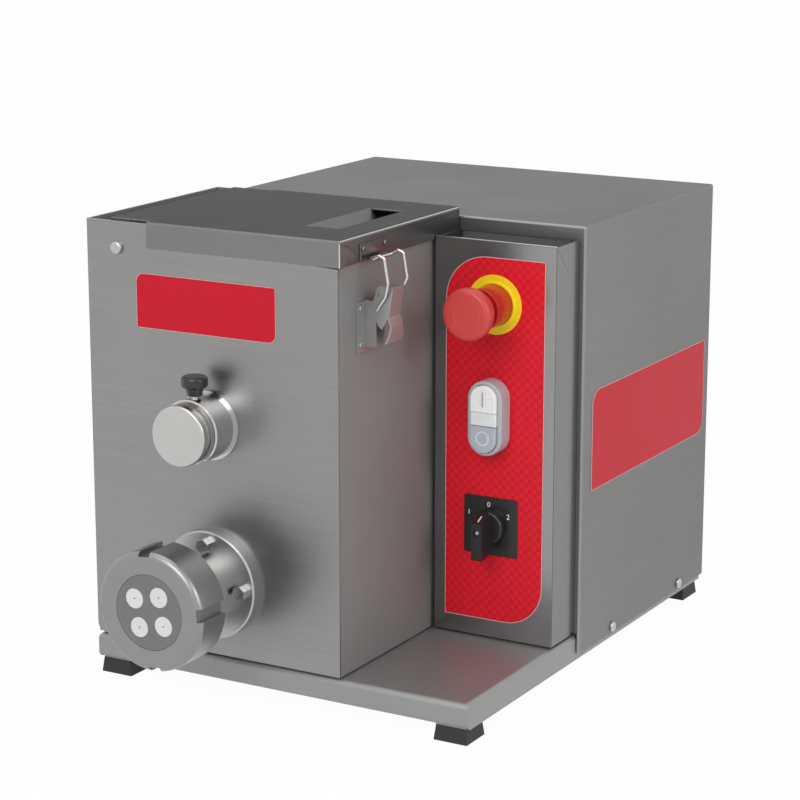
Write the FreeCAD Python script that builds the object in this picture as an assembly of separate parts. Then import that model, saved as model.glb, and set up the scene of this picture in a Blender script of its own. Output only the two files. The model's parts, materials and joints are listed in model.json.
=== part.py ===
import FreeCAD, Part
import math
import os

os.makedirs("parts", exist_ok=True)
V = FreeCAD.Vector
X_AXIS = V(1, 0, 0)
Y_AXIS = V(0, 1, 0)
Z_AXIS = V(0, 0, 1)

# Table-top pasta mixer and extruder, in millimetres.
# Machine axes: X to the right from the tank's left wall, Y back from the tank's front plate,
# Z up from the floor. The parts are moved to the centre of the footprint when they are saved.

# Sheet and general fits
SHEET = 1.5
PLATE = 2.0
SHAFT_FIT = 0.05
SHEET_GAP = 0.3

# Feet and base tray
FOOT_HEIGHT = 12.5
FOOT_TOP = 26.0
FOOT_FLARE = 1.5
FOOT_INSET = 3.0
FOOT_SCREW_R = 2.5
BASE_TOP = 33.5
BASE_DEPTH_Z = 21.0
BASE_WIDTH = 341.5
BASE_BEND = 5.0

# Tank
TANK_WIDTH = 229.5
TANK_DEPTH = 184.0
TANK_BOTTOM_GAP = 1.3
TANK_TOP = 374.6
TANK_CORNER_R = 8.0
TANK_TOP_CLEARANCE = 0.4

# Lid and its pivot
LID_LEFT = 20.0
LID_SIDE_GAP = 1.5
LID_FRONT_GAP = 0.5
LID_FLANGE_LEFT = 58.0
LID_FLANGE_HEIGHT = 20.5
LID_FLANGE_R = 4.0
LID_INSET = 3.0
LID_END_GAP = 1.6
LID_EAR_R = 9.0
PIVOT_X = 29.0
PIVOT_DROP = 22.8
PIVOT_R = 3.0
PIVOT_HEAD_R = 5.2
PIVOT_HEAD_H = 3.4
HOLE_LEFT = 173.5
HOLE_WIDTH = 31.0
HOLE_FRONT = 45.0
HOLE_LENGTH = 98.0
FLAP_LENGTH = 27.0
FLAP_ANGLE = 46.0

# Latch on the tank's right wall
LATCH_Y = 46.5
CATCH_WIDTH = 40.0
CATCH_DROP = 6.5
CATCH_HEIGHT = 13.0
CATCH_T = 1.2
HOOK_WIDTH = 26.0
HOOK_REACH = 5.0
HOOK_RISE = 3.0
RIVET_R = 2.2
RIVET_H = 1.3
CATCH_RIVET_SPACING = 32.0
LATCH_BASE_WIDTH = 40.0
LATCH_BASE_Z = 286.0
LATCH_BASE_HEIGHT = 39.0
LATCH_RIVET_SPACING = 32.5
LATCH_PIN_REACH = 14.0
LATCH_PIN_Z = 331.0
LATCH_PIN_R = 1.6
LEVER_WIDTH = 17.5
LEVER_T = 1.4
LEVER_EYE_R = 6.0
LEVER_WEB_TOP = 12.0
LEVER_WEB_BOTTOM = 8.0
LEVER_LENGTH = 17.0
LEVER_CHEEK_DROP = 10.0
LEVER_TAB_DROP = 20.0
LEVER_TAB_BULGE = 2.4
LEVER_TAB_WIDTH = 24.0
LEVER_TAB_NECK = 9.0
LATCH_EAR_REACH = 10.0
LATCH_EAR_END = 3.0
BAIL_PIN_IN = 2.0
BAIL_PIN_DROP = 13.0
BAIL_WIRE_R = 1.25
BAIL_HALF_WIDTH = 14.5
BAIL_CATCH_GAP = 0.4

# Mixer shaft bearing on the front plate
MIXER_X = 113.2
MIXER_Z = 221.8
COLLAR_R = 25.5
COLLAR_LIP_R = 27.6
COLLAR_LIP_T = 3.0
COLLAR_LENGTH = 29.0
COLLAR_CHAMFER = 1.0
PLUG_R = 20.0
PLUG_CAP_R = 24.0
PLUG_CAP_T = 6.0
PLUG_CAP_ROUND = 1.6
PLUG_GROOVE_R = 21.3
PLUG_GROOVE_T = 5.0
PLUG_RIM_T = 4.0
PLUG_INNER_LENGTH = 30.0
BUSH_WALL = 3.0
JOURNAL_R = 9.0
JOURNAL_LENGTH = 24.0
THUMB_Y = 20.0
THUMB_STUD_R = 3.0
THUMB_STUD_SHOW = 2.0
THUMB_HUB_R = 7.0
THUMB_HUB_LOW_R = 5.9
THUMB_HUB_H = 6.2
THUMB_HEAD_R = 10.4
THUMB_HEAD_H = 9.3
THUMB_ROUND = 2.8
THUMB_TIP_GAP = 0.3

# Mixer paddles and trough
MIXER_SHAFT_R = 11.0
PADDLE_R = 60.0
PADDLE_T = 7.0
PADDLE_WIDTH = 20.0
PADDLE_COUNT = 5
PADDLE_TWIST = 72.0
TROUGH_R = 66.0
TROUGH_T = 1.5
THROAT_WIDTH = 30.0
THROAT_FRONT = 40.0
THROAT_LENGTH = 70.0

# Extruder
AXIS_DROP = 128.0
BARREL_R = 26.5
BARREL_BORE = 20.0
BARREL_FLANGE_R = 44.0
BARREL_FLANGE_T = 9.0
BARREL_BOLT_PCD = 67.0
BARREL_BOLT_R = 3.0
BARREL_BOLT_HEAD = 5.0
BARREL_BOLT_HEAD_T = 6.4
BARREL_BOLT_NUT_T = 4.4
NUT_R = 47.5
NUT_LENGTH = 33.0
NUT_FACE = 87.0
NUT_LIP_T = 7.0
NUT_CHAMFER = 5.0
NUT_SLOT_COUNT = 4
NUT_SLOT_ANGLE = 5.0
NUT_SLOT_WIDTH = 10.0
NUT_SLOT_DEPTH = 4.0
THREAD_R = 36.0
THREAD_LENGTH = 19.0
DIE_R = 29.8
DIE_SHOULDER_R = 35.0
DIE_SHOULDER_T = 4.0
DIE_GAP = 0.2
INSERT_R = 8.0
INSERT_RING_R = 16.0
INSERT_COUNT = 4
INSERT_ANGLE = 55.0
INSERT_HOLE_R = 0.7
AUGER_ROOT_R = 9.0
AUGER_RUN_GAP = 0.6
AUGER_PITCH = 30.0
AUGER_FLIGHT_T = 4.0

# Housing, bulkhead and control box
HOUSING_LEFT = 4.0
COVER_SIDE_GAP = 1.6
HOUSING_BACK = 438.5
HOUSING_TOP_DROP = 5.2
HOUSING_SHEET = 1.2
HOUSING_LIP = 11.5
HOUSING_OVERLAP = 15.5
HOUSING_BEND = 2.0
BULKHEAD_T = 4.0
BULKHEAD_GAP = 0.3
COVER_SCREW_R = 2.0
COVER_SCREW_HEAD_R = 4.4
COVER_SCREW_HEAD_T = 2.2
COVER_SCREW_SPACING = 136.0
COVER_SCREW_Z = 23.5
VENT_COUNT = 9
VENT_WIDTH = 4.0
VENT_HEIGHT = 60.0
VENT_PITCH = 12.0
VENT_DROP = 40.0
WIRE_HOLE_WIDTH = 30.0
WIRE_HOLE_LOW = 60.0
WIRE_HOLE_HEIGHT = 40.0
BOX_GAP = 3.6
BOX_WIDTH = 106.2
BOX_DEPTH = 40.8
BOX_TOP_DROP = 18.0
BOX_PIT = 12.0
BOX_BOTTOM_GAP = 1.7
BOX_FOOT_INSET = 6.0
DECAL_WIDTH = 87.5
DECAL_HEIGHT = 297.0
DECAL_T = 0.4
DECAL_LEFT = 9.5
DECAL_BOTTOM = 14.2
DECAL_R_TOP = 36.0
DECAL_R_BOTTOM = 33.0

# Controls, by the height of their centres
ESTOP_X = 286.4
ESTOP_Z = 309.0
ESTOP_HEAD_R = 20.6
ESTOP_REACH = 50.0
ESTOP_HEAD_T = 12.0
ESTOP_CROWN = 3.0
ESTOP_STEM_R = 9.0
ESTOP_COLLAR_R = 16.4
ESTOP_COLLAR_T = 24.0
ESTOP_SKIRT_STEP = 0.6
ESTOP_RING_R = 23.8
ESTOP_RING_T = 1.2
ESTOP_STEP_R = 18.4
ESTOP_STEP_T = 0.8
ESTOP_TRAVEL = 5.0
DUAL_X = 285.6
DUAL_Z = 219.9
DUAL_WIDTH = 30.2
DUAL_HEIGHT = 60.6
DUAL_BODY_T = 15.0
DUAL_WELL_WIDTH = 23.0
DUAL_WELL_HEIGHT = 55.0
DUAL_WELL_DEPTH = 7.0
DUAL_BUTTON_T = 10.0
DUAL_LENS_HEIGHT = 11.0
DUAL_FIT = 0.25
DUAL_TRAVEL = 2.5
SELECTOR_X = 284.7
SELECTOR_Z = 128.6
SELECTOR_PLATE = 48.0
SELECTOR_PLATE_T = 1.0
SELECTOR_DISC_R = 13.5
SELECTOR_DISC_T = 7.0
SELECTOR_BAR_WIDTH = 9.5
SELECTOR_BAR_T = 17.0
SELECTOR_NOSE_FRONT = 7.5
SELECTOR_NOSE_BACK = 13.3
SELECTOR_NOSE_DEPTH = 12.0
SELECTOR_TAIL = 23.0
SELECTOR_TAIL_ROUND = 1.5
SELECTOR_TAIL_DEPTH = 10.0
SELECTOR_WELL_R = 2.9
SELECTOR_WELL_DEPTH = 2.0
SELECTOR_CAP_R = 1.5
CONTROL_HOLE_R = 11.0
SPINDLE_R = 3.0
SELECTOR_SWITCH = 30.0
SELECTOR_SWITCH_T = 26.0
CONTACT_BLOCK = 24.0
CONTACT_BLOCK_T = 26.0

# Name plates without lettering
FRONT_LABEL_X = 46.6
FRONT_LABEL_Z = 292.4
FRONT_LABEL_W = 128.2
FRONT_LABEL_H = 43.2
FRONT_LABEL_R = 7.0
SIDE_LABEL_Y = 201.8
SIDE_LABEL_Z = 151.5
SIDE_LABEL_W = 225.0
SIDE_LABEL_H = 82.5
SIDE_LABEL_R = 13.0
LABEL_T = 0.5

# Drive train in the housing
GEAR_MODULE = 4.0
MIXER_TEETH = 38
AUGER_TEETH = 26
PINION_TEETH = 15
GEAR_FACE = 24.0
GEAR_START = 24.0
GEAR_BACKLASH = 0.5
PRESSURE_ANGLE = 20.0
LAYSHAFT_ANGLE = 20.0
LAYSHAFT_R = 9.0
DRIVE_SHAFT_R = 11.0
REAR_PLATE_START = 96.0
REAR_PLATE_T = 8.0
REAR_PLATE_LEFT = 80.0
REAR_PLATE_MARGIN = 62.0
PULLEY_START = 64.0
PULLEY_WIDTH = 18.0
LARGE_PULLEY_R = 58.0
SMALL_PULLEY_R = 24.0
BELT_T = 6.0
BELT_WIDTH = 12.0
BELT_GAP = 0.3
MOTOR_X = 270.0
MOTOR_Z = 250.0
MOTOR_R = 58.0
MOTOR_LENGTH = 118.0
MOTOR_SHAFT_R = 8.0
MOTOR_SHAFT_DEPTH = 40.0
MOTOR_END_ROUND = 6.0
LEAD_BOX_REACH = 12.0
LEAD_BOX_START = 30.0
LEAD_BOX_LENGTH = 60.0
LEAD_BOX_HEIGHT = 44.0
BEARING_R = 22.0
BEARING_T = 14.0
SPACER_R = 7.0
SPACER_INSET = 12.0
SPACER_RISE = 30.0
PLATE_FOOT = 30.0

# The rear inlet gland
GLAND_X = 290.0
GLAND_Z = 60.0
GLAND_R = 11.0
GLAND_BORE_R = 4.5
GLAND_REACH = 16.0
GLAND_NUT_T = 6.0
GLAND_NECK_R = 6.6
GLAND_DOME_R = 9.9

# Places that follow from the sizes above
LID_TOP = TANK_TOP + TANK_TOP_CLEARANCE + SHEET
HOUSING_RIGHT = BASE_WIDTH + COVER_SIDE_GAP + HOUSING_SHEET
PIVOT_Z = LID_TOP - PIVOT_DROP
TANK_BOTTOM = BASE_TOP + TANK_BOTTOM_GAP
AUGER_Z = MIXER_Z - AXIS_DROP
HOUSING_FRONT = TANK_DEPTH + 0.6
HOUSING_TOP = TANK_TOP - HOUSING_TOP_DROP
BULKHEAD_Y = HOUSING_FRONT + HOUSING_SHEET + BULKHEAD_GAP
BULKHEAD_BACK = BULKHEAD_Y + BULKHEAD_T
LID_RIGHT = TANK_WIDTH + LID_SIDE_GAP + SHEET
BOX_LEFT = TANK_WIDTH + BOX_GAP
BOX_RIGHT = BOX_LEFT + BOX_WIDTH
BOX_FRONT = HOUSING_FRONT - BOX_DEPTH - SHEET_GAP
BOX_BOTTOM = BASE_TOP + BOX_BOTTOM_GAP
BOX_TOP = LID_TOP - BOX_TOP_DROP
PANEL_FACE = BOX_FRONT - DECAL_T
LATCH_WALL = TANK_WIDTH
BASE_BACK = HOUSING_BACK - HOUSING_SHEET - SHEET_GAP
GEAR_Y = BULKHEAD_BACK + GEAR_START
REAR_PLATE_Y = BULKHEAD_BACK + REAR_PLATE_START
PULLEY_Y = BULKHEAD_BACK + PULLEY_START
LAYSHAFT_START = BULKHEAD_BACK + 4.0
LAYSHAFT_DISTANCE = GEAR_MODULE * (AUGER_TEETH + PINION_TEETH) / 2
LAYSHAFT_X = MIXER_X + LAYSHAFT_DISTANCE * math.cos(math.radians(LAYSHAFT_ANGLE))
LAYSHAFT_Z = AUGER_Z + LAYSHAFT_DISTANCE * math.sin(math.radians(LAYSHAFT_ANGLE))
PLUG_FACE_Y = -(COLLAR_LENGTH + SHEET_GAP + PLUG_RIM_T + PLUG_GROOVE_T + PLUG_CAP_T)
LATCH_PIN_X = LATCH_WALL + LATCH_PIN_REACH
BAIL_PIN_X = LATCH_PIN_X - BAIL_PIN_IN
BAIL_PIN_Z = LATCH_PIN_Z - BAIL_PIN_DROP
HOOK_TIP_X = LID_RIGHT + CATCH_T + HOOK_REACH
HOOK_Z = LID_TOP - LID_FLANGE_HEIGHT + 1.0
REAR_Y = HOUSING_BACK + GLAND_REACH
CENTRE_X = HOUSING_RIGHT / 2 + COVER_SCREW_HEAD_T / 2
CENTRE_Y = (REAR_Y - NUT_FACE) / 2

NODES = {}


def save(name, *shapes):
    """Move the shapes to the part's own origin and keep them as one node."""
    solids = []
    for shape in shapes:
        solids.extend(shape.Solids)
    node = solids[0] if len(solids) == 1 else Part.makeCompound(solids)
    node = node.copy()
    node.translate(V(-CENTRE_X, -CENTRE_Y, 0))
    NODES[name] = node


def block(x0, x1, y0, y1, z0, z1):
    """Make a box between two corners."""
    return Part.makeBox(x1 - x0, y1 - y0, z1 - z0, V(x0, y0, z0))


def rod_y(x, z, radius, y0, y1):
    """Make a cylinder along Y."""
    return Part.makeCylinder(radius, y1 - y0, V(x, y0, z), Y_AXIS)


def rod_x(y, z, radius, x0, x1):
    """Make a cylinder along X."""
    return Part.makeCylinder(radius, x1 - x0, V(x0, y, z), X_AXIS)


def rod_z(x, y, radius, z0, z1):
    """Make a cylinder along Z."""
    return Part.makeCylinder(radius, z1 - z0, V(x, y, z0), Z_AXIS)


def ring_y(x, z, outer, inner, y0, y1):
    """Make a tube along Y."""
    return rod_y(x, z, outer, y0, y1).cut(rod_y(x, z, inner, y0 - 1, y1 + 1))


def edges_at(shape, test):
    """Pick the edges whose two ends and middle pass the test."""
    picked = []
    for edge in shape.Edges:
        spots = [v.Point for v in edge.Vertexes] + [edge.CenterOfMass]
        if all(test(p) for p in spots):
            picked.append(edge)
    return picked


def near(a, b):
    """Tell whether two lengths agree."""
    return abs(a - b) < 1e-3


def on_circle(x, z, radius, degrees):
    """Give the point of a circle in the XZ plane."""
    turn = math.radians(degrees)
    return x + radius * math.cos(turn), z + radius * math.sin(turn)


def outline_xz(points, y0, y1):
    """Extrude a closed outline of (x, z) points along Y."""
    ring = [V(x, y0, z) for x, z in points]
    face = Part.Face(Part.makePolygon(ring + ring[:1]))
    return face.extrude(V(0, y1 - y0, 0))


def rounded_plate(width, height, thick, rounds):
    """Make a plate in the XZ plane with its own radius at BL, BR, TR, TL (0 is sharp)."""
    plate = block(0, width, 0, thick, 0, height)
    corners = [(0, 0), (width, 0), (width, height), (0, height)]
    for (x, z), radius in zip(corners, rounds):
        if radius > 0:
            edge = edges_at(plate, lambda p, x=x, z=z: near(p.x, x) and near(p.z, z))
            plate = plate.makeFillet(radius, edge)
    return plate


def stadium(width, height, thick, x, y, z):
    """Make an upright slot-shaped plate about a centre, going back from y."""
    r = width / 2
    flat = height / 2 - r
    middle = block(x - r, x + r, y, y + thick, z - flat, z + flat)
    top = rod_y(x, z + flat, r, y, y + thick)
    low = rod_y(x, z - flat, r, y, y + thick)
    return middle.fuse([top, low]).removeSplitter()


def hexagon_y(x, z, half_flat, y0, y1, turn=0.0):
    """Make a hexagonal bar along Y."""
    corner = half_flat / math.cos(math.pi / 6)
    return outline_xz([on_circle(x, z, corner, turn + 60 * i) for i in range(6)], y0, y1)


def wire_rod(points, radius, bend):
    """Sweep a round wire along straight runs joined by arcs."""
    spots = [V(*p) for p in points]
    edges = []
    start = spots[0]
    for before, corner, after in zip(spots, spots[1:], spots[2:]):
        a = (before - corner).normalize()
        b = (after - corner).normalize()
        half = a.getAngle(b) / 2
        reach = bend / math.tan(half)
        first = corner + a * reach
        last = corner + b * reach
        inward = (a + b).normalize()
        middle = corner + inward * (bend / math.sin(half) - bend)
        edges.append(Part.LineSegment(start, first).toShape())
        edges.append(Part.Arc(first, middle, last).toShape())
        start = last
    edges.append(Part.LineSegment(start, spots[-1]).toShape())
    path = Part.Wire(edges)
    section = Part.Wire(Part.makeCircle(radius, spots[0], spots[1] - spots[0]))
    return path.makePipeShell([section], True, True)


def tooth_angles(teeth):
    """Give the radii and half-angles of one involute flank, root to tip."""
    pitch_r = GEAR_MODULE * teeth / 2
    base_r = pitch_r * math.cos(math.radians(PRESSURE_ANGLE))
    tip_r = pitch_r + GEAR_MODULE * 0.9
    root_r = pitch_r - GEAR_MODULE * 1.2
    half_pitch = (math.pi * GEAR_MODULE / 2 - GEAR_BACKLASH) / 2 / pitch_r
    involute = math.tan(math.radians(PRESSURE_ANGLE)) - math.radians(PRESSURE_ANGLE)
    steps = [max(root_r, base_r) + (tip_r - max(root_r, base_r)) * i / 4 for i in range(5)]
    flank = [(root_r, half_pitch + involute)] if root_r < base_r else []
    for radius in steps:
        angle = math.acos(min(1.0, base_r / radius))
        flank.append((radius, half_pitch + involute - (math.tan(angle) - angle)))
    return flank


def spur_gear(x, z, teeth, phase, bore, y0, y1):
    """Make a spur gear about Y with one tooth centred at the phase angle in degrees."""
    flank = tooth_angles(teeth)
    points = []
    for i in range(teeth):
        centre = math.radians(phase) + 2 * math.pi * i / teeth
        for radius, half in flank:
            points.append((x + radius * math.cos(centre - half), z + radius * math.sin(centre - half)))
        for radius, half in reversed(flank):
            points.append((x + radius * math.cos(centre + half), z + radius * math.sin(centre + half)))
    return outline_xz(points, y0, y1).cut(rod_y(x, z, bore, y0 - 1, y1 + 1))


def base_tray():
    """Make the folded tray that carries the tank, the housing and the feet."""
    low = BASE_TOP - BASE_DEPTH_Z
    outer = block(0, BASE_WIDTH, 0, BASE_BACK, low, BASE_TOP)
    bends = edges_at(outer, lambda p: near(p.z, BASE_TOP) or (near(p.z, low) and near(p.y, 0)))
    outer = outer.makeFillet(BASE_BEND, bends)
    inner = block(SHEET, BASE_WIDTH - SHEET, SHEET, BASE_BACK - SHEET, low - 1, BASE_TOP - SHEET)
    top_edges = edges_at(inner, lambda p: near(p.z, BASE_TOP - SHEET))
    inner = inner.makeFillet(BASE_BEND - SHEET, top_edges)
    tray = outer.cut(inner)
    # a folded pad over each foot closes the tray's underside there
    for x, y in foot_places():
        pad = block(x, x + FOOT_TOP, y, y + FOOT_TOP, FOOT_HEIGHT, FOOT_HEIGHT + SHEET)
        wall = block(x, x + SHEET, y, y + FOOT_TOP, FOOT_HEIGHT, BASE_TOP - SHEET)
        other = block(x + FOOT_TOP - SHEET, x + FOOT_TOP, y, y + FOOT_TOP, FOOT_HEIGHT, BASE_TOP - SHEET)
        tray = tray.fuse([pad, wall, other])
    for x, y in foot_places():
        hole = rod_z(x + FOOT_TOP / 2, y + FOOT_TOP / 2, FOOT_SCREW_R, 0, FOOT_HEIGHT + 2 * SHEET)
        tray = tray.cut(hole)
    save("base_tray", tray.removeSplitter())


def foot_places():
    """Give the low-left corner of each foot's top."""
    right = BASE_WIDTH - FOOT_INSET - FOOT_TOP
    back = BASE_BACK - FOOT_INSET - FOOT_TOP
    return [(FOOT_INSET, FOOT_INSET), (right, FOOT_INSET), (FOOT_INSET, back), (right, back)]


def feet():
    """Make four flared rubber feet and the screws that hold them."""
    rubber = []
    screws = []
    for x, y in foot_places():
        top = Part.makePolygon(square(x, y, FOOT_TOP, FOOT_HEIGHT))
        low = Part.makePolygon(square(x - FOOT_FLARE, y - FOOT_FLARE, FOOT_TOP + 2 * FOOT_FLARE, 0))
        cx = x + FOOT_TOP / 2
        cy = y + FOOT_TOP / 2
        foot = Part.makeLoft([low, top], True, True)
        sink = rod_z(cx, cy, FOOT_SCREW_R * 2.4, -1, FOOT_HEIGHT / 2)
        rubber.append(foot.cut(sink).cut(rod_z(cx, cy, FOOT_SCREW_R, -1, FOOT_HEIGHT + 1)))
        head = rod_z(cx, cy, FOOT_SCREW_R * 1.9, FOOT_HEIGHT / 2 - 2.5, FOOT_HEIGHT / 2)
        shank = rod_z(cx, cy, FOOT_SCREW_R, FOOT_HEIGHT / 2 - 1, FOOT_HEIGHT + SHEET)
        nut = rod_z(cx, cy, FOOT_SCREW_R * 1.8, FOOT_HEIGHT + SHEET, FOOT_HEIGHT + SHEET + 4)
        screws.append(head.fuse([shank, nut]).removeSplitter())
    save("rubber_feet", *rubber)
    save("foot_screws", *screws)


def square(x, y, side, z):
    """Give the closed ring of a level square."""
    ring = [V(x, y, z), V(x + side, y, z), V(x + side, y + side, z), V(x, y + side, z)]
    return ring + ring[:1]


def tank():
    """Make the front plate, the tank's walls, the trough and its throat to the barrel."""
    plate = rounded_plate(TANK_WIDTH, TANK_TOP - TANK_BOTTOM, PLATE, (TANK_CORNER_R, 0, 0, 0))
    plate.translate(V(0, 0, TANK_BOTTOM))
    plate = plate.cut(rod_y(PIVOT_X, PIVOT_Z, PIVOT_R, -1, PLATE + 1))
    plate = plate.cut(rod_y(MIXER_X, MIXER_Z, PLUG_R + SHAFT_FIT, -1, PLATE + 1))
    plate = plate.cut(rod_y(MIXER_X, AUGER_Z, BARREL_R, -1, PLATE + 1))
    for x, z in barrel_bolt_places():
        plate = plate.cut(rod_y(x, z, BARREL_BOLT_R, -1, PLATE + 1))
    save("tank_front_plate", plate)

    outer = block(0, TANK_WIDTH, PLATE, TANK_DEPTH, TANK_BOTTOM, TANK_TOP)
    inner = block(SHEET, TANK_WIDTH - SHEET, PLATE - 1, TANK_DEPTH - SHEET, TANK_BOTTOM + SHEET, TANK_TOP + 1)
    shell = outer.cut(inner)
    for x, z, radius in ((MIXER_X, MIXER_Z, MIXER_SHAFT_R + 1), (MIXER_X, AUGER_Z, BARREL_R)):
        shell = shell.cut(rod_y(x, z, radius, TANK_DEPTH - 2 * SHEET, TANK_DEPTH + 1))
    shell = shell.cut(rod_y(PIVOT_X, PIVOT_Z, PIVOT_R, TANK_DEPTH - 2 * SHEET, TANK_DEPTH + 1))
    save("tank_walls", shell)

    y0 = PLATE
    y1 = TANK_DEPTH - SHEET
    half = TANK_WIDTH / 2 - SHEET
    centre = TANK_WIDTH / 2
    skin = rod_y(MIXER_X, MIXER_Z, TROUGH_R + TROUGH_T, y0, y1)
    skin = skin.cut(rod_y(MIXER_X, MIXER_Z, TROUGH_R, y0 - 1, y1 + 1))
    skin = skin.cut(block(0, TANK_WIDTH, y0 - 1, y1 + 1, MIXER_Z, MIXER_Z + 2 * TROUGH_R))
    left = block(centre - half, MIXER_X - TROUGH_R, y0, y1, MIXER_Z - TROUGH_T, MIXER_Z)
    right = block(MIXER_X + TROUGH_R, centre + half, y0, y1, MIXER_Z - TROUGH_T, MIXER_Z)
    trough = skin.fuse([left, right]).removeSplitter()
    mouth = block(MIXER_X - THROAT_WIDTH / 2, MIXER_X + THROAT_WIDTH / 2, THROAT_FRONT,
                  THROAT_FRONT + THROAT_LENGTH, AUGER_Z, MIXER_Z)
    save("mixing_trough", trough.cut(mouth))

    duct = block(MIXER_X - THROAT_WIDTH / 2 - SHEET, MIXER_X + THROAT_WIDTH / 2 + SHEET,
                 THROAT_FRONT - SHEET, THROAT_FRONT + THROAT_LENGTH + SHEET, AUGER_Z, MIXER_Z)
    duct = duct.cut(mouth).cut(rod_y(MIXER_X, AUGER_Z, BARREL_R, 0, TANK_DEPTH))
    duct = duct.common(block(0, TANK_WIDTH, 0, TANK_DEPTH, AUGER_Z, MIXER_Z - TROUGH_R * 0.6))
    duct = duct.cut(rod_y(MIXER_X, MIXER_Z, TROUGH_R + TROUGH_T, 0, TANK_DEPTH))
    save("feed_throat", duct)


def lid():
    """Make the lid with its outer flanges, pivot ears, feed hole and bent flap."""
    under = LID_TOP - SHEET
    front = -(LID_FRONT_GAP + SHEET)
    back = TANK_DEPTH - 0.2
    low = LID_TOP - LID_FLANGE_HEIGHT
    top = block(LID_FLANGE_LEFT, LID_RIGHT, front, back, under, LID_TOP)
    front_flange = rounded_plate(LID_RIGHT - LID_FLANGE_LEFT, LID_FLANGE_HEIGHT, SHEET,
                                 (LID_FLANGE_R, 0, 0, 0))
    front_flange.translate(V(LID_FLANGE_LEFT, front, low))
    right_flange = block(LID_RIGHT - SHEET, LID_RIGHT, front, back, low, LID_TOP)
    inset_front = PLATE + LID_INSET
    inset_back = TANK_DEPTH - SHEET - LID_INSET
    tongue = block(LID_LEFT, LID_FLANGE_LEFT + 1, inset_front, inset_back, under, LID_TOP)
    body = top.fuse([front_flange, right_flange, tongue])
    for y0, y1 in ((inset_front, inset_front + SHEET), (inset_back - SHEET, inset_back)):
        web = block(PIVOT_X - LID_EAR_R, PIVOT_X + LID_EAR_R, y0, y1, PIVOT_Z, LID_TOP)
        eye = rod_y(PIVOT_X, PIVOT_Z, LID_EAR_R, y0, y1)
        body = body.fuse([web, eye])
    body = body.removeSplitter()
    body = body.cut(rod_y(PIVOT_X, PIVOT_Z, PIVOT_R + SHAFT_FIT, -5, TANK_DEPTH + 5))
    hole_back = HOLE_FRONT + HOLE_LENGTH
    body = body.cut(block(HOLE_LEFT, HOLE_LEFT + HOLE_WIDTH, HOLE_FRONT, hole_back, 0, LID_TOP + 1))
    body = body.fuse(front_flange).fuse(right_flange)
    turn = math.radians(FLAP_ANGLE)
    down = (math.cos(turn), -math.sin(turn))
    side = (-math.sin(turn) * SHEET, -math.cos(turn) * SHEET)
    start = (HOLE_LEFT, LID_TOP)
    tip = (start[0] + down[0] * FLAP_LENGTH, start[1] + down[1] * FLAP_LENGTH)
    root = (HOLE_LEFT - SHEET, under)
    flap = outline_xz([start, tip, (tip[0] + side[0], tip[1] + side[1]),
                       (HOLE_LEFT + side[0], under + side[1] * 0.4), root, (root[0], LID_TOP)],
                      HOLE_FRONT + SHEET_GAP, hole_back - SHEET_GAP)
    body = body.fuse(flap).removeSplitter()
    save("lid", body)

    back_seat = TANK_DEPTH - SHEET
    head = rod_y(PIVOT_X, PIVOT_Z, PIVOT_HEAD_R, -PIVOT_HEAD_H, 0)
    rim = edges_at(head, lambda p: near(p.y, -PIVOT_HEAD_H))
    head = head.makeFillet(PIVOT_HEAD_H * 0.5, rim)
    bolt = head.fuse(rod_y(PIVOT_X, PIVOT_Z, PIVOT_R, -1, inset_front + SHEET + 6))
    nut = hexagon_y(PIVOT_X, PIVOT_Z, PIVOT_R * 1.7, inset_front + SHEET + SHEET_GAP, inset_front + SHEET + 5)
    rear = rod_y(PIVOT_X, PIVOT_Z, PIVOT_R, inset_back - SHEET - 4, TANK_DEPTH)
    rear_head = rod_y(PIVOT_X, PIVOT_Z, PIVOT_R * 1.6, inset_back + SHEET_GAP, back_seat)
    save("lid_pivot_bolts", bolt.fuse(nut).removeSplitter(), rear.fuse(rear_head).removeSplitter())


def lid_catch():
    """Make the hooked catch riveted to the lid's right flange."""
    x0 = LID_RIGHT
    z1 = LID_TOP - CATCH_DROP
    z0 = z1 - CATCH_HEIGHT
    half = CATCH_WIDTH / 2
    plate = block(x0, x0 + CATCH_T, LATCH_Y - half, LATCH_Y + half, z0, z1)
    tongue = block(x0, HOOK_TIP_X, LATCH_Y - HOOK_WIDTH / 2, LATCH_Y + HOOK_WIDTH / 2, z0, z0 + CATCH_T)
    lip = block(HOOK_TIP_X - CATCH_T, HOOK_TIP_X, LATCH_Y - HOOK_WIDTH / 2, LATCH_Y + HOOK_WIDTH / 2,
                z0, z0 + HOOK_RISE)
    body = plate.fuse([tongue, lip]).removeSplitter()
    rivets = []
    for side in (-1, 1):
        y = LATCH_Y + side * CATCH_RIVET_SPACING / 2
        z = z1 - CATCH_HEIGHT * 0.3
        head = rod_x(y, z, RIVET_R, x0 + CATCH_T, x0 + CATCH_T + RIVET_H)
        head = head.makeFillet(RIVET_H * 0.6, edges_at(head, lambda p: near(p.x, x0 + CATCH_T + RIVET_H)))
        rivets.append(head)
    save("lid_catch", body, *rivets)


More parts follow.
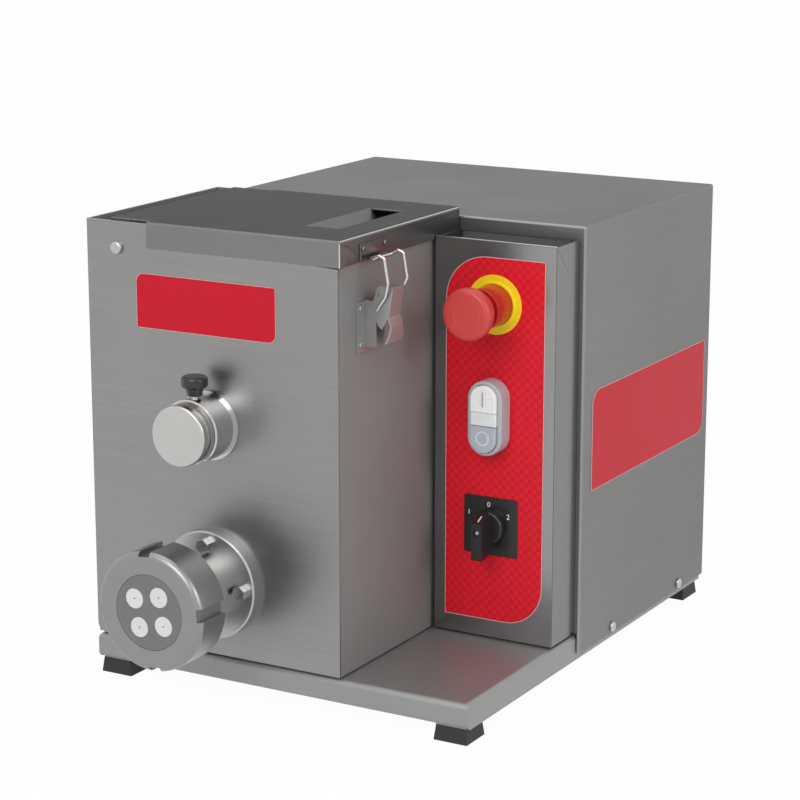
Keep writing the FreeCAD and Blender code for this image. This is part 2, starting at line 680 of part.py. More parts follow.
def latch():
    """Make the toggle latch: riveted base, cross pin, lever and wire bail."""
    wall = LATCH_WALL
    half = LATCH_BASE_WIDTH / 2
    top = LATCH_BASE_Z + LATCH_BASE_HEIGHT
    plate = block(wall, wall + SHEET, LATCH_Y - half, LATCH_Y + half, LATCH_BASE_Z, top)
    ear_out = LEVER_WIDTH / 2 - LEVER_T - SHEET_GAP
    ears = []
    for side in (-1, 1):
        y0 = LATCH_Y + side * ear_out
        y1 = LATCH_Y + side * (ear_out - SHEET)
        ring = [(wall, LATCH_BASE_Z + LATCH_EAR_END), (wall + LATCH_EAR_REACH, LATCH_BASE_Z + LATCH_EAR_END),
                (wall + LATCH_EAR_REACH, top - 2 * LATCH_EAR_END),
                (LATCH_PIN_X + LATCH_EAR_END, LATCH_PIN_Z - LATCH_EAR_END),
                (LATCH_PIN_X + LATCH_EAR_END, LATCH_PIN_Z + LATCH_EAR_END),
                (LATCH_PIN_X - LATCH_EAR_END, LATCH_PIN_Z + LATCH_EAR_END),
                (wall + LATCH_EAR_REACH - LATCH_EAR_END, top), (wall, top)]
        ears.append(outline_xz(ring, min(y0, y1), max(y0, y1)))
    base = plate.fuse(ears).removeSplitter()
    base = base.cut(rod_y(LATCH_PIN_X, LATCH_PIN_Z, LATCH_PIN_R, LATCH_Y - half, LATCH_Y + half))
    rivets = []
    for side in (-1, 1):
        for z in (LATCH_BASE_Z + 6, top - 5):
            y = LATCH_Y + side * LATCH_RIVET_SPACING / 2
            head = rod_x(y, z, RIVET_R, wall + SHEET, wall + SHEET + RIVET_H)
            head = head.makeFillet(RIVET_H * 0.6, edges_at(head, lambda p: near(p.x, wall + SHEET + RIVET_H)))
            rivets.append(head)
    save("latch_base", base, *rivets)
    reach = LEVER_WIDTH / 2 + 0.6
    save("latch_pin", rod_y(LATCH_PIN_X, LATCH_PIN_Z, LATCH_PIN_R, LATCH_Y - reach, LATCH_Y + reach))

    px = LATCH_PIN_X
    pz = LATCH_PIN_Z
    web_top = px + LEVER_WEB_TOP
    web_low = px + LEVER_WEB_BOTTOM
    bottom = pz - LEVER_LENGTH
    y0 = LATCH_Y - LEVER_WIDTH / 2
    y1 = LATCH_Y + LEVER_WIDTH / 2
    eye = LEVER_EYE_R
    cheek_low = bottom - LEVER_CHEEK_DROP
    cheek = [(px - eye / 2, pz + eye - 2), (px - eye / 2 + 2, pz + eye), (web_top, pz + eye), (web_low, bottom),
             (px + 2, cheek_low), (px - 1, cheek_low + 2), (px - 5, pz - BAIL_PIN_DROP - 4),
             (px - 5, pz - BAIL_PIN_DROP + 4)]
    lever = outline_xz(cheek, y0, y0 + LEVER_T).fuse(outline_xz(cheek, y1 - LEVER_T, y1))
    web = outline_xz([(web_top, pz + eye), (web_low, bottom), (web_low - LEVER_T, bottom),
                      (web_top - LEVER_T, pz + eye)], y0, y1)
    drop = LEVER_TAB_DROP
    bulge = LEVER_TAB_BULGE
    skin = [(web_low, bottom), (web_low + bulge, bottom - drop * 0.35),
            (web_low + bulge * 0.8, bottom - drop * 0.7),
            (web_low, bottom - drop)]
    t0 = LATCH_Y - LEVER_TAB_WIDTH / 2
    t1 = LATCH_Y + LEVER_TAB_WIDTH / 2
    tab = outline_xz(skin + [(x - LEVER_T, z) for x, z in reversed(skin)], t0, t1)
    for y, edge, side in ((t0, y0, 1), (t1, y1, -1)):
        neck = [V(px, y - side, bottom + 1), V(px, edge, bottom + 1), V(px, edge, bottom - LEVER_TAB_NECK),
                V(px, y, bottom - drop + 2), V(px, y - side, bottom - drop + 2)]
        tab = tab.cut(Part.Face(Part.makePolygon(neck + neck[:1])).extrude(V(2 * LEVER_LENGTH, 0, 0)))
    lever = lever.fuse([web, tab]).removeSplitter()
    lever = lever.cut(rod_y(px, pz, LATCH_PIN_R + SHAFT_FIT, y0 - 1, y1 + 1))
    lever = lever.cut(rod_y(BAIL_PIN_X, BAIL_PIN_Z, BAIL_WIRE_R + SHAFT_FIT, y0 - 1, y1 + 1))
    save("latch_lever", lever)

    cross_x = HOOK_TIP_X + BAIL_CATCH_GAP + BAIL_WIRE_R
    wide = BAIL_HALF_WIDTH
    slim = LEVER_WIDTH / 2 + SHEET_GAP + BAIL_WIRE_R
    inner = LEVER_WIDTH / 2 - LEVER_T + 0.2
    side_path = [(cross_x, wide, HOOK_Z + 1), (wall + 16.8, wide, HOOK_Z + 4.4),
                 (wall + 21.2, wide, HOOK_Z + 3.0), (wall + 24.6, wide, pz + 10),
                 (wall + 20.5, slim + 1.4, pz - 1), (BAIL_PIN_X, slim, BAIL_PIN_Z),
                 (BAIL_PIN_X, inner, BAIL_PIN_Z)]
    path = [(x, LATCH_Y - y, z) for x, y, z in reversed(side_path)]
    path += [(x, LATCH_Y + y, z) for x, y, z in side_path]
    save("latch_bail", wire_rod(path, BAIL_WIRE_R, BAIL_WIRE_R * 1.15))


def mixer_bearing():
    """Make the collar, the plug that slides into it, its bush and the thumbscrew."""
    bore = PLUG_R + SHAFT_FIT
    collar = ring_y(MIXER_X, MIXER_Z, COLLAR_R, bore, -COLLAR_LENGTH, 0)
    lip = ring_y(MIXER_X, MIXER_Z, COLLAR_LIP_R, bore, -COLLAR_LIP_T, 0)
    collar = collar.fuse(lip).removeSplitter()
    rim = [e for e in collar.Edges if near(e.BoundBox.YMin, -COLLAR_LENGTH)
           and near(e.BoundBox.YMax, -COLLAR_LENGTH) and e.BoundBox.XLength > 2 * bore + 1]
    collar = collar.makeChamfer(COLLAR_CHAMFER, rim)
    collar = collar.cut(rod_z(MIXER_X, -THUMB_Y, THUMB_STUD_R + SHAFT_FIT, MIXER_Z, MIXER_Z + 2 * COLLAR_R))
    save("mixer_collar", collar)

    rim_back = -(COLLAR_LENGTH + SHEET_GAP)
    rim_front = rim_back - PLUG_RIM_T
    groove_front = rim_front - PLUG_GROOVE_T
    cap = rod_y(MIXER_X, MIXER_Z, PLUG_CAP_R, PLUG_FACE_Y, groove_front)
    cap = cap.makeFillet(PLUG_CAP_ROUND, [e for e in cap.Edges if near(e.BoundBox.YMax, PLUG_FACE_Y)])
    groove = rod_y(MIXER_X, MIXER_Z, PLUG_GROOVE_R, groove_front, rim_front)
    rim_disc = rod_y(MIXER_X, MIXER_Z, PLUG_CAP_R, rim_front, rim_back)
    body = rod_y(MIXER_X, MIXER_Z, PLUG_R, rim_back, rim_back + PLUG_INNER_LENGTH + SHEET_GAP)
    plug = cap.fuse([groove, rim_disc, body]).removeSplitter()
    bush_r = JOURNAL_R + SHAFT_FIT + BUSH_WALL
    end = rim_back + PLUG_INNER_LENGTH + SHEET_GAP
    plug = plug.cut(rod_y(MIXER_X, MIXER_Z, bush_r, end - JOURNAL_LENGTH, end + 1))
    save("bearing_plug", plug)
    save("plug_bush", ring_y(MIXER_X, MIXER_Z, bush_r, JOURNAL_R + SHAFT_FIT, end - JOURNAL_LENGTH, end))

    tip = MIXER_Z + PLUG_R + THUMB_TIP_GAP
    hub_low = MIXER_Z + COLLAR_R + THUMB_STUD_SHOW
    hub_top = hub_low + THUMB_HUB_H
    stud = rod_z(MIXER_X, -THUMB_Y, THUMB_STUD_R, tip, hub_top)
    hub = Part.makeCone(THUMB_HUB_LOW_R, THUMB_HUB_R, THUMB_HUB_H, V(MIXER_X, -THUMB_Y, hub_low), Z_AXIS)
    head = rod_z(MIXER_X, -THUMB_Y, THUMB_HEAD_R, hub_top, hub_top + THUMB_HEAD_H)
    head = head.makeFillet(THUMB_ROUND, [e for e in head.Edges if e.BoundBox.ZLength < 1e-6])
    knob = hub.fuse(head).cut(rod_z(MIXER_X, -THUMB_Y, THUMB_STUD_R, 0, hub_top)).removeSplitter()
    save("thumbscrew_knob", knob)
    save("thumbscrew_stud", stud)


def mixer():
    """Make the mixing shaft with its staggered paddles."""
    front = -(COLLAR_LENGTH + SHEET_GAP) + PLUG_INNER_LENGTH + SHEET_GAP
    journal = rod_y(MIXER_X, MIXER_Z, JOURNAL_R, front - JOURNAL_LENGTH + 1, front + 1)
    shaft = rod_y(MIXER_X, MIXER_Z, MIXER_SHAFT_R, front + 1, REAR_PLATE_Y + REAR_PLATE_T)
    body = journal.fuse(shaft)
    y0 = PLATE + 12
    pitch = (TANK_DEPTH - SHEET - 12 - y0 - PADDLE_WIDTH) / (PADDLE_COUNT - 1)
    for i in range(PADDLE_COUNT):
        y = y0 + i * pitch
        arm = block(MIXER_X - PADDLE_T / 2, MIXER_X + PADDLE_T / 2, y, y + PADDLE_WIDTH,
                    MIXER_Z, MIXER_Z + PADDLE_R)
        arm = arm.makeFillet(PADDLE_T * 0.45, edges_at(arm, lambda p: near(p.z, MIXER_Z + PADDLE_R)))
        arm.rotate(V(MIXER_X, y, MIXER_Z), Y_AXIS, 35 + i * PADDLE_TWIST)
        body = body.fuse(arm)
    save("mixer_shaft", body.removeSplitter())


def barrel_bolt_places():
    """Give the centres of the barrel flange's bolts."""
    return [on_circle(MIXER_X, AUGER_Z, BARREL_BOLT_PCD / 2, 90 * i) for i in range(4)]


def extruder():
    """Make the barrel, its bolts, the ring nut, the die with its inserts and the auger."""
    shoulder_back = -NUT_FACE + NUT_LIP_T + DIE_GAP + DIE_SHOULDER_T
    thread_front = shoulder_back
    tube = rod_y(MIXER_X, AUGER_Z, BARREL_R, thread_front, TANK_DEPTH - 0.3)
    flange = rod_y(MIXER_X, AUGER_Z, BARREL_FLANGE_R, -BARREL_FLANGE_T, 0)
    flange = flange.makeChamfer(1.2, [e for e in flange.Edges if near(e.BoundBox.YMax, -BARREL_FLANGE_T)])
    thread = rod_y(MIXER_X, AUGER_Z, THREAD_R, thread_front, thread_front + THREAD_LENGTH)
    barrel = tube.fuse([flange, thread]).removeSplitter()
    barrel = barrel.cut(rod_y(MIXER_X, AUGER_Z, BARREL_BORE, -NUT_FACE, TANK_DEPTH + 1))
    barrel = barrel.cut(block(MIXER_X - THROAT_WIDTH / 2, MIXER_X + THROAT_WIDTH / 2, THROAT_FRONT,
                              THROAT_FRONT + THROAT_LENGTH, AUGER_Z, MIXER_Z))
    bolts = []
    for x, z in barrel_bolt_places():
        barrel = barrel.cut(rod_y(x, z, BARREL_BOLT_R, -NUT_FACE, 1))
        head = hexagon_y(x, z, BARREL_BOLT_HEAD, -BARREL_FLANGE_T - BARREL_BOLT_HEAD_T, -BARREL_FLANGE_T, 20)
        shank = rod_y(x, z, BARREL_BOLT_R, -BARREL_FLANGE_T, PLATE + BARREL_BOLT_NUT_T)
        nut = hexagon_y(x, z, BARREL_BOLT_HEAD, PLATE, PLATE + BARREL_BOLT_NUT_T)
        bolts.append(head.fuse([shank, nut]).removeSplitter())
    save("extruder_barrel", barrel)
    save("barrel_bolts", *bolts)

    face = -NUT_FACE
    nut = rod_y(MIXER_X, AUGER_Z, NUT_R, face, face + NUT_LENGTH)
    nut = nut.makeFillet(NUT_CHAMFER, [e for e in nut.Edges if near(e.BoundBox.YMax, face)])
    nut = nut.cut(rod_y(MIXER_X, AUGER_Z, DIE_R + DIE_GAP, face - 1, 0))
    nut = nut.cut(rod_y(MIXER_X, AUGER_Z, THREAD_R + SHAFT_FIT, face + NUT_LIP_T, 0))
    for i in range(NUT_SLOT_COUNT):
        slot = block(NUT_R - NUT_SLOT_DEPTH, NUT_R + 5, face - 1, face + NUT_LENGTH + 1,
                     -NUT_SLOT_WIDTH / 2, NUT_SLOT_WIDTH / 2)
        slot.rotate(V(0, 0, 0), Y_AXIS, -(NUT_SLOT_ANGLE + 360 / NUT_SLOT_COUNT * i))
        slot.translate(V(MIXER_X, 0, AUGER_Z))
        nut = nut.cut(slot)
    save("ring_nut", nut)

    shoulder = rod_y(MIXER_X, AUGER_Z, DIE_SHOULDER_R, shoulder_back - DIE_SHOULDER_T, shoulder_back)
    boss = rod_y(MIXER_X, AUGER_Z, DIE_R, face, shoulder_back)
    die = shoulder.fuse(boss).removeSplitter()
    inserts = []
    for i in range(INSERT_COUNT):
        x, z = on_circle(MIXER_X, AUGER_Z, INSERT_RING_R, INSERT_ANGLE + 360 / INSERT_COUNT * i)
        die = die.cut(rod_y(x, z, INSERT_R, face - 1, 0))
        inserts.append(ring_y(x, z, INSERT_R, INSERT_HOLE_R, face, shoulder_back))
    save("die_plate", die)
    save("die_inserts", *inserts)


def auger():
    """Make the screw that pushes the dough: a core with a helical flight, its seal and its tail."""
    front = -NUT_FACE + NUT_LIP_T + DIE_GAP + DIE_SHOULDER_T + 3
    back = TANK_DEPTH - 8
    radius = BARREL_BORE - AUGER_RUN_GAP
    core = rod_y(MIXER_X, AUGER_Z, AUGER_ROOT_R, front, back)
    length = back - front - 12
    helix = Part.makeHelix(AUGER_PITCH, length, (AUGER_ROOT_R + radius) / 2)
    mid = (AUGER_ROOT_R + radius) / 2
    depth = (radius - AUGER_ROOT_R) / 2
    ring = [V(mid - depth - 0.5, 0, -AUGER_FLIGHT_T / 2), V(mid + depth, 0, -AUGER_FLIGHT_T / 2),
            V(mid + depth, 0, AUGER_FLIGHT_T / 2), V(mid - depth - 0.5, 0, AUGER_FLIGHT_T / 2)]
    section = Part.makePolygon(ring + ring[:1])
    sweep = Part.BRepOffsetAPI.MakePipeShell(Part.Wire(helix.Edges))
    sweep.setFrenetMode(True)
    sweep.add(section)
    sweep.build()
    sweep.makeSolid()
    flight = sweep.shape()
    flight.rotate(V(0, 0, 0), X_AXIS, -90)
    flight.translate(V(MIXER_X, front + 6, AUGER_Z))
    seal = rod_y(MIXER_X, AUGER_Z, radius, back - 6, back)
    tail = rod_y(MIXER_X, AUGER_Z, DRIVE_SHAFT_R, back - 1, REAR_PLATE_Y + REAR_PLATE_T)
    screw = core.fuse([flight, seal, tail]).removeSplitter()
    save("auger", screw)


def housing():
    """Make the rear cover, the bulkhead behind it and the cover's screws."""
    low = BASE_TOP - HOUSING_OVERLAP
    t = HOUSING_SHEET
    outer = block(HOUSING_LEFT, HOUSING_RIGHT, HOUSING_FRONT, HOUSING_BACK, low, HOUSING_TOP)
    folds = edges_at(outer, lambda p: near(p.z, HOUSING_TOP))
    folds += edges_at(outer, lambda p: near(p.x, HOUSING_RIGHT) and (near(p.y, HOUSING_FRONT) or
                                                                     near(p.y, HOUSING_BACK)))
    outer = outer.makeFillet(HOUSING_BEND, folds)
    inner = block(HOUSING_LEFT + t, HOUSING_RIGHT - t, HOUSING_FRONT + t, HOUSING_BACK - t, low - 1,
                  HOUSING_TOP - t)
    cover = outer.cut(inner)
    window = block(HOUSING_LEFT + HOUSING_LIP, HOUSING_RIGHT - HOUSING_LIP, HOUSING_FRONT - 1,
                   HOUSING_FRONT + t + 1, low - 1, HOUSING_TOP - HOUSING_LIP)
    cover = cover.cut(window)
    notch = block(HOUSING_LEFT - 1, HOUSING_RIGHT - t - 1, HOUSING_FRONT - 1, HOUSING_FRONT + 2 * t,
                  low - 1, BASE_TOP + 2)
    cover = cover.cut(notch)
    cover = cover.cut(block(HOUSING_LEFT - 1, BASE_WIDTH / 2, HOUSING_FRONT - 1, BASE_BACK, low - 1,
                            BASE_TOP + SHEET_GAP))
    for i in range(VENT_COUNT):
        x = (HOUSING_LEFT + HOUSING_RIGHT) / 2 + (i - (VENT_COUNT - 1) / 2) * VENT_PITCH
        slot = block(x - VENT_WIDTH / 2, x + VENT_WIDTH / 2, HOUSING_BACK - 2 * t, HOUSING_BACK + 1,
                     HOUSING_TOP - VENT_DROP - VENT_HEIGHT, HOUSING_TOP - VENT_DROP)
        cover = cover.cut(slot)
    cover = cover.cut(rod_y(GLAND_X, GLAND_Z, GLAND_NECK_R, HOUSING_BACK - 2 * t, HOUSING_BACK + 1))
    middle = (HOUSING_FRONT + HOUSING_BACK) / 2 + 4
    screws = []
    for side in (-1, 1):
        y = middle + side * COVER_SCREW_SPACING / 2
        cover = cover.cut(rod_x(y, COVER_SCREW_Z, COVER_SCREW_R, HOUSING_RIGHT - 2 * t, HOUSING_RIGHT + 1))
        head = rod_x(y, COVER_SCREW_Z, COVER_SCREW_HEAD_R, HOUSING_RIGHT, HOUSING_RIGHT + COVER_SCREW_HEAD_T)
        tip = HOUSING_RIGHT + COVER_SCREW_HEAD_T
        head = head.makeFillet(COVER_SCREW_HEAD_T * 0.6, [e for e in head.Edges if near(e.BoundBox.XMin, tip)])
        shank = rod_x(y, COVER_SCREW_Z, COVER_SCREW_R, HOUSING_RIGHT - t - COVER_SIDE_GAP, HOUSING_RIGHT)
        screws.append(head.fuse(shank).removeSplitter())
    save("housing_cover", cover)
    save("cover_screws", *screws)

    x0 = HOUSING_LEFT + t + SHEET_GAP
    x1 = HOUSING_RIGHT - t - SHEET_GAP - 2.0
    wall = block(x0, x1, BULKHEAD_Y, BULKHEAD_BACK, BASE_TOP, HOUSING_TOP - t - 2.0)
    foot = block(x0 + 4, x1 - 4, BULKHEAD_BACK, BULKHEAD_BACK + PLATE_FOOT / 2, BASE_TOP, BASE_TOP + 3)
    wall = wall.fuse(foot).removeSplitter()
    for z in (MIXER_Z, AUGER_Z):
        wall = wall.cut(rod_y(MIXER_X, z, BEARING_R, BULKHEAD_Y - 1, BULKHEAD_BACK + 1))
    middle = (BOX_LEFT + BOX_RIGHT) / 2
    wires = block(middle - WIRE_HOLE_WIDTH / 2, middle + WIRE_HOLE_WIDTH / 2, BULKHEAD_Y - 1, BULKHEAD_BACK + 1,
                  BOX_BOTTOM + WIRE_HOLE_LOW, BOX_BOTTOM + WIRE_HOLE_LOW + WIRE_HOLE_HEIGHT)
    save("bulkhead", wall.cut(wires))


def gear_frame():
    """Make the rear bearing plate, the spacers, the bearings and the motor's seat."""
    y0 = REAR_PLATE_Y
    y1 = REAR_PLATE_Y + REAR_PLATE_T
    left = MIXER_X - REAR_PLATE_LEFT
    right = MOTOR_X + REAR_PLATE_MARGIN
    plate = block(left, right, y0, y1, BASE_TOP, MOTOR_Z + REAR_PLATE_MARGIN)
    foot = block(left, right, y1, y1 + PLATE_FOOT, BASE_TOP, BASE_TOP + 4)
    plate = plate.fuse(foot).removeSplitter()
    spots = [(MIXER_X, MIXER_Z), (MIXER_X, AUGER_Z), (LAYSHAFT_X, LAYSHAFT_Z)]
    for x, z in spots:
        plate = plate.cut(rod_y(x, z, BEARING_R, y0 - 1, y1 + 1))
    plate = plate.cut(rod_y(MOTOR_X, MOTOR_Z, MOTOR_SHAFT_R + 3, y0 - 1, y1 + 1))
    save("rear_bearing_plate", plate)

    bearings = []
    for x, z in spots[:2]:
        bearings.append(ring_y(x, z, BEARING_R, DRIVE_SHAFT_R + SHAFT_FIT, BULKHEAD_Y, BULKHEAD_Y + BEARING_T))
    for (x, z), shaft in zip(spots, (MIXER_SHAFT_R, DRIVE_SHAFT_R, LAYSHAFT_R)):
        bearings.append(ring_y(x, z, BEARING_R, shaft + SHAFT_FIT, y0, y1))
    seat = rod_y(LAYSHAFT_X, LAYSHAFT_Z, BEARING_R, BULKHEAD_BACK, BULKHEAD_BACK + BEARING_T)
    bore = rod_y(LAYSHAFT_X, LAYSHAFT_Z, LAYSHAFT_R + SHAFT_FIT, LAYSHAFT_START - SHEET_GAP, y0)
    bearings.append(seat.cut(bore))
    save("shaft_bearings", *bearings)

    spacers = []
    for x in (left + SPACER_INSET, right - SPACER_INSET):
        for z in (BASE_TOP + SPACER_RISE, MOTOR_Z + REAR_PLATE_MARGIN - SPACER_INSET):
            spacers.append(rod_y(x, z, SPACER_R, BULKHEAD_BACK, y0))
    save("frame_spacers", *spacers)


def drive():
    """Make the gears, layshaft, pulleys, belt and motor, in mesh at rest."""
    y0 = GEAR_Y
    y1 = GEAR_Y + GEAR_FACE
    save("mixer_gear", spur_gear(MIXER_X, MIXER_Z, MIXER_TEETH, -90, MIXER_SHAFT_R, y0, y1))
    auger_step = 360 / AUGER_TEETH
    auger_phase = 90 + auger_step / 2
    save("auger_gear", spur_gear(MIXER_X, AUGER_Z, AUGER_TEETH, auger_phase, DRIVE_SHAFT_R, y0, y1))
    # the pinion has a gap where the auger gear has its nearest tooth
    offset = (auger_phase - LAYSHAFT_ANGLE + auger_step / 2) % auger_step - auger_step / 2
    gap = LAYSHAFT_ANGLE + 180 - offset * AUGER_TEETH / PINION_TEETH
    pinion_phase = gap + 180 / PINION_TEETH
    save("drive_pinion", spur_gear(LAYSHAFT_X, LAYSHAFT_Z, PINION_TEETH, pinion_phase, LAYSHAFT_R, y0, y1))
    shaft_end = REAR_PLATE_Y + REAR_PLATE_T
    save("layshaft", rod_y(LAYSHAFT_X, LAYSHAFT_Z, LAYSHAFT_R, LAYSHAFT_START, shaft_end))

    p0 = PULLEY_Y
    p1 = PULLEY_Y + PULLEY_WIDTH
    b0 = (p0 + p1 - BELT_WIDTH) / 2
    b1 = b0 + BELT_WIDTH
    save("layshaft_pulley", pulley(LAYSHAFT_X, LAYSHAFT_Z, LARGE_PULLEY_R, LAYSHAFT_R, p0, p1, b0, b1))
    save("motor_pulley", pulley(MOTOR_X, MOTOR_Z, SMALL_PULLEY_R, MOTOR_SHAFT_R, p0, p1, b0, b1))
    save("drive_belt", belt(b0, b1))

    motor_front = REAR_PLATE_Y + REAR_PLATE_T
    can = rod_y(MOTOR_X, MOTOR_Z, MOTOR_R, motor_front, motor_front + MOTOR_LENGTH)
    can_back = motor_front + MOTOR_LENGTH
    can = can.makeFillet(MOTOR_END_ROUND, [e for e in can.Edges if near(e.BoundBox.YMin, can_back)])
    lead_y = motor_front + LEAD_BOX_START
    lead_low = MOTOR_Z - LEAD_BOX_HEIGHT / 2
    lead_box = block(MOTOR_X - MOTOR_R - LEAD_BOX_REACH, MOTOR_X - MOTOR_R / 2, lead_y,
                     lead_y + LEAD_BOX_LENGTH, lead_low, lead_low + LEAD_BOX_HEIGHT)
    shaft_back = motor_front + MOTOR_SHAFT_DEPTH
    can = can.fuse(lead_box).removeSplitter()
    can = can.cut(rod_y(MOTOR_X, MOTOR_Z, MOTOR_SHAFT_R + SHAFT_FIT, motor_front - 1, shaft_back + 0.3))
    save("motor", can)
    save("motor_shaft", rod_y(MOTOR_X, MOTOR_Z, MOTOR_SHAFT_R, p0 - 2, shaft_back))


def pulley(x, z, radius, bore, y0, y1, b0, b1):
    """Make a grooved pulley whose groove bottom is the given radius."""
    body = rod_y(x, z, radius + BELT_T, y0, y1)
    body = body.cut(ring_y(x, z, radius + BELT_T + 2, radius, b0 - BELT_GAP, b1 + BELT_GAP))
    return body.cut(rod_y(x, z, bore, y0 - 1, y1 + 1))


def belt(b0, b1):
    """Make the belt as one closed band round both pulleys."""
    big = LARGE_PULLEY_R + BELT_GAP
    small = SMALL_PULLEY_R + BELT_GAP
    return hull_band(big + BELT_T, small + BELT_T, b0, b1).cut(hull_band(big, small, b0 - 1, b1 + 1))


def hull_band(big, small, y0, y1):
    """Make the solid bounded by two discs and their outer tangents."""
    dx = MOTOR_X - LAYSHAFT_X
    dz = MOTOR_Z - LAYSHAFT_Z
    span = math.hypot(dx, dz)
    along = math.atan2(dz, dx)
    lean = math.acos((big - small) / span)
    ring = []
    for turn, x, z, r in ((lean, LAYSHAFT_X, LAYSHAFT_Z, big), (lean, MOTOR_X, MOTOR_Z, small),
                          (-lean, MOTOR_X, MOTOR_Z, small), (-lean, LAYSHAFT_X, LAYSHAFT_Z, big)):
        ring.append((x + r * math.cos(along + turn), z + r * math.sin(along + turn)))
    middle = outline_xz(ring, y0, y1)
    discs = [rod_y(LAYSHAFT_X, LAYSHAFT_Z, big, y0, y1), rod_y(MOTOR_X, MOTOR_Z, small, y0, y1)]
    return middle.fuse(discs).removeSplitter()


def control_box():
    """Make the folded box beside the tank with its control holes, and the decal."""
    t = SHEET
    back = HOUSING_FRONT - SHEET_GAP
    outer = block(BOX_LEFT, BOX_RIGHT, BOX_FRONT, back, BOX_BOTTOM, BOX_TOP)
    pit_floor = BOX_TOP - BOX_PIT
    inner = block(BOX_LEFT + t, BOX_RIGHT - t, BOX_FRONT + t, back + 1, BOX_BOTTOM + t, pit_floor - t)
    pit = block(BOX_LEFT + t, BOX_RIGHT - t, BOX_FRONT + t, back + 1, pit_floor, BOX_TOP + 1)
    box = outer.cut([inner, pit])
    inset = BOX_FOOT_INSET
    foot = block(BOX_LEFT + inset, BOX_RIGHT - inset, BOX_FRONT + inset, back - inset, BASE_TOP, BOX_BOTTOM)
    box = box.fuse(foot).removeSplitter()
    decal = rounded_plate(DECAL_WIDTH, DECAL_HEIGHT, DECAL_T, (0, DECAL_R_BOTTOM, 0, DECAL_R_TOP))
    decal.translate(V(BOX_LEFT + DECAL_LEFT, PANEL_FACE, BOX_BOTTOM + DECAL_BOTTOM))
    for x, z, r in control_holes():
        hole = rod_y(x, z, r, PANEL_FACE - 1, BOX_FRONT + t + 1)
        box = box.cut(hole)
        decal = decal.cut(hole)
    save("control_box", box)
    save("panel_decal", decal)


def control_holes():
    """Give each control's panel hole as x, z and radius."""
    flat = DUAL_HEIGHT / 2 - DUAL_WIDTH / 2
    return [(ESTOP_X, ESTOP_Z, CONTROL_HOLE_R), (DUAL_X, DUAL_Z + flat, CONTROL_HOLE_R - 2),
            (DUAL_X, DUAL_Z - flat, CONTROL_HOLE_R - 2), (SELECTOR_X, SELECTOR_Z, SPINDLE_R + 1)]


def estop():
    """Make the emergency stop: ring, collar, stem, mushroom head and contact block."""
    face = PANEL_FACE
    ring_front = face - ESTOP_RING_T
    collar_front = ring_front - ESTOP_COLLAR_T
    head_front = face - ESTOP_REACH
    head_back = head_front + ESTOP_HEAD_T
    ring = ring_y(ESTOP_X, ESTOP_Z, ESTOP_RING_R, CONTROL_HOLE_R, ring_front, face)
    step = ring_y(ESTOP_X, ESTOP_Z, ESTOP_STEP_R, ESTOP_COLLAR_R + SHEET_GAP, ring_front - ESTOP_STEP_T, face)
    save("estop_ring", ring.fuse(step).removeSplitter())
    collar = rod_y(ESTOP_X, ESTOP_Z, ESTOP_COLLAR_R, collar_front, ring_front)
    neck = rod_y(ESTOP_X, ESTOP_Z, CONTROL_HOLE_R, ring_front, BOX_FRONT + SHEET + 2)
    collar = collar.fuse(neck).removeSplitter()
    collar = collar.cut(rod_y(ESTOP_X, ESTOP_Z, ESTOP_STEM_R + SHAFT_FIT, collar_front - 1, BOX_FRONT + 10))
    save("estop_collar", collar)
    stem_back = BOX_FRONT + SHEET + 2
    stem = rod_y(ESTOP_X, ESTOP_Z, ESTOP_STEM_R, head_back - 5, stem_back)
    save("estop_stem", stem)
    head = rod_y(ESTOP_X, ESTOP_Z, ESTOP_HEAD_R, head_front, head_back)
    head = head.makeFillet(ESTOP_CROWN, [e for e in head.Edges if near(e.BoundBox.YMax, head_front)])
    head = head.cut(rod_y(ESTOP_X, ESTOP_Z, ESTOP_STEM_R + SHAFT_FIT, head_back - 5, head_back + 1))
    skirt_r = ESTOP_COLLAR_R - ESTOP_SKIRT_STEP
    skirt = ring_y(ESTOP_X, ESTOP_Z, skirt_r, ESTOP_STEM_R + SHAFT_FIT, head_back,
                   collar_front - ESTOP_TRAVEL - SHEET_GAP)
    save("estop_head", head.fuse(skirt).removeSplitter())
    block_y = stem_back + ESTOP_TRAVEL + SHEET_GAP
    half = CONTACT_BLOCK / 2
    contact = block(ESTOP_X - half, ESTOP_X + half, block_y, block_y + CONTACT_BLOCK_T - 8,
                    ESTOP_Z - half, ESTOP_Z + half)
    clip = ring_y(ESTOP_X, ESTOP_Z, half, CONTROL_HOLE_R, BOX_FRONT + SHEET, block_y)
    return contact.fuse(clip).removeSplitter()


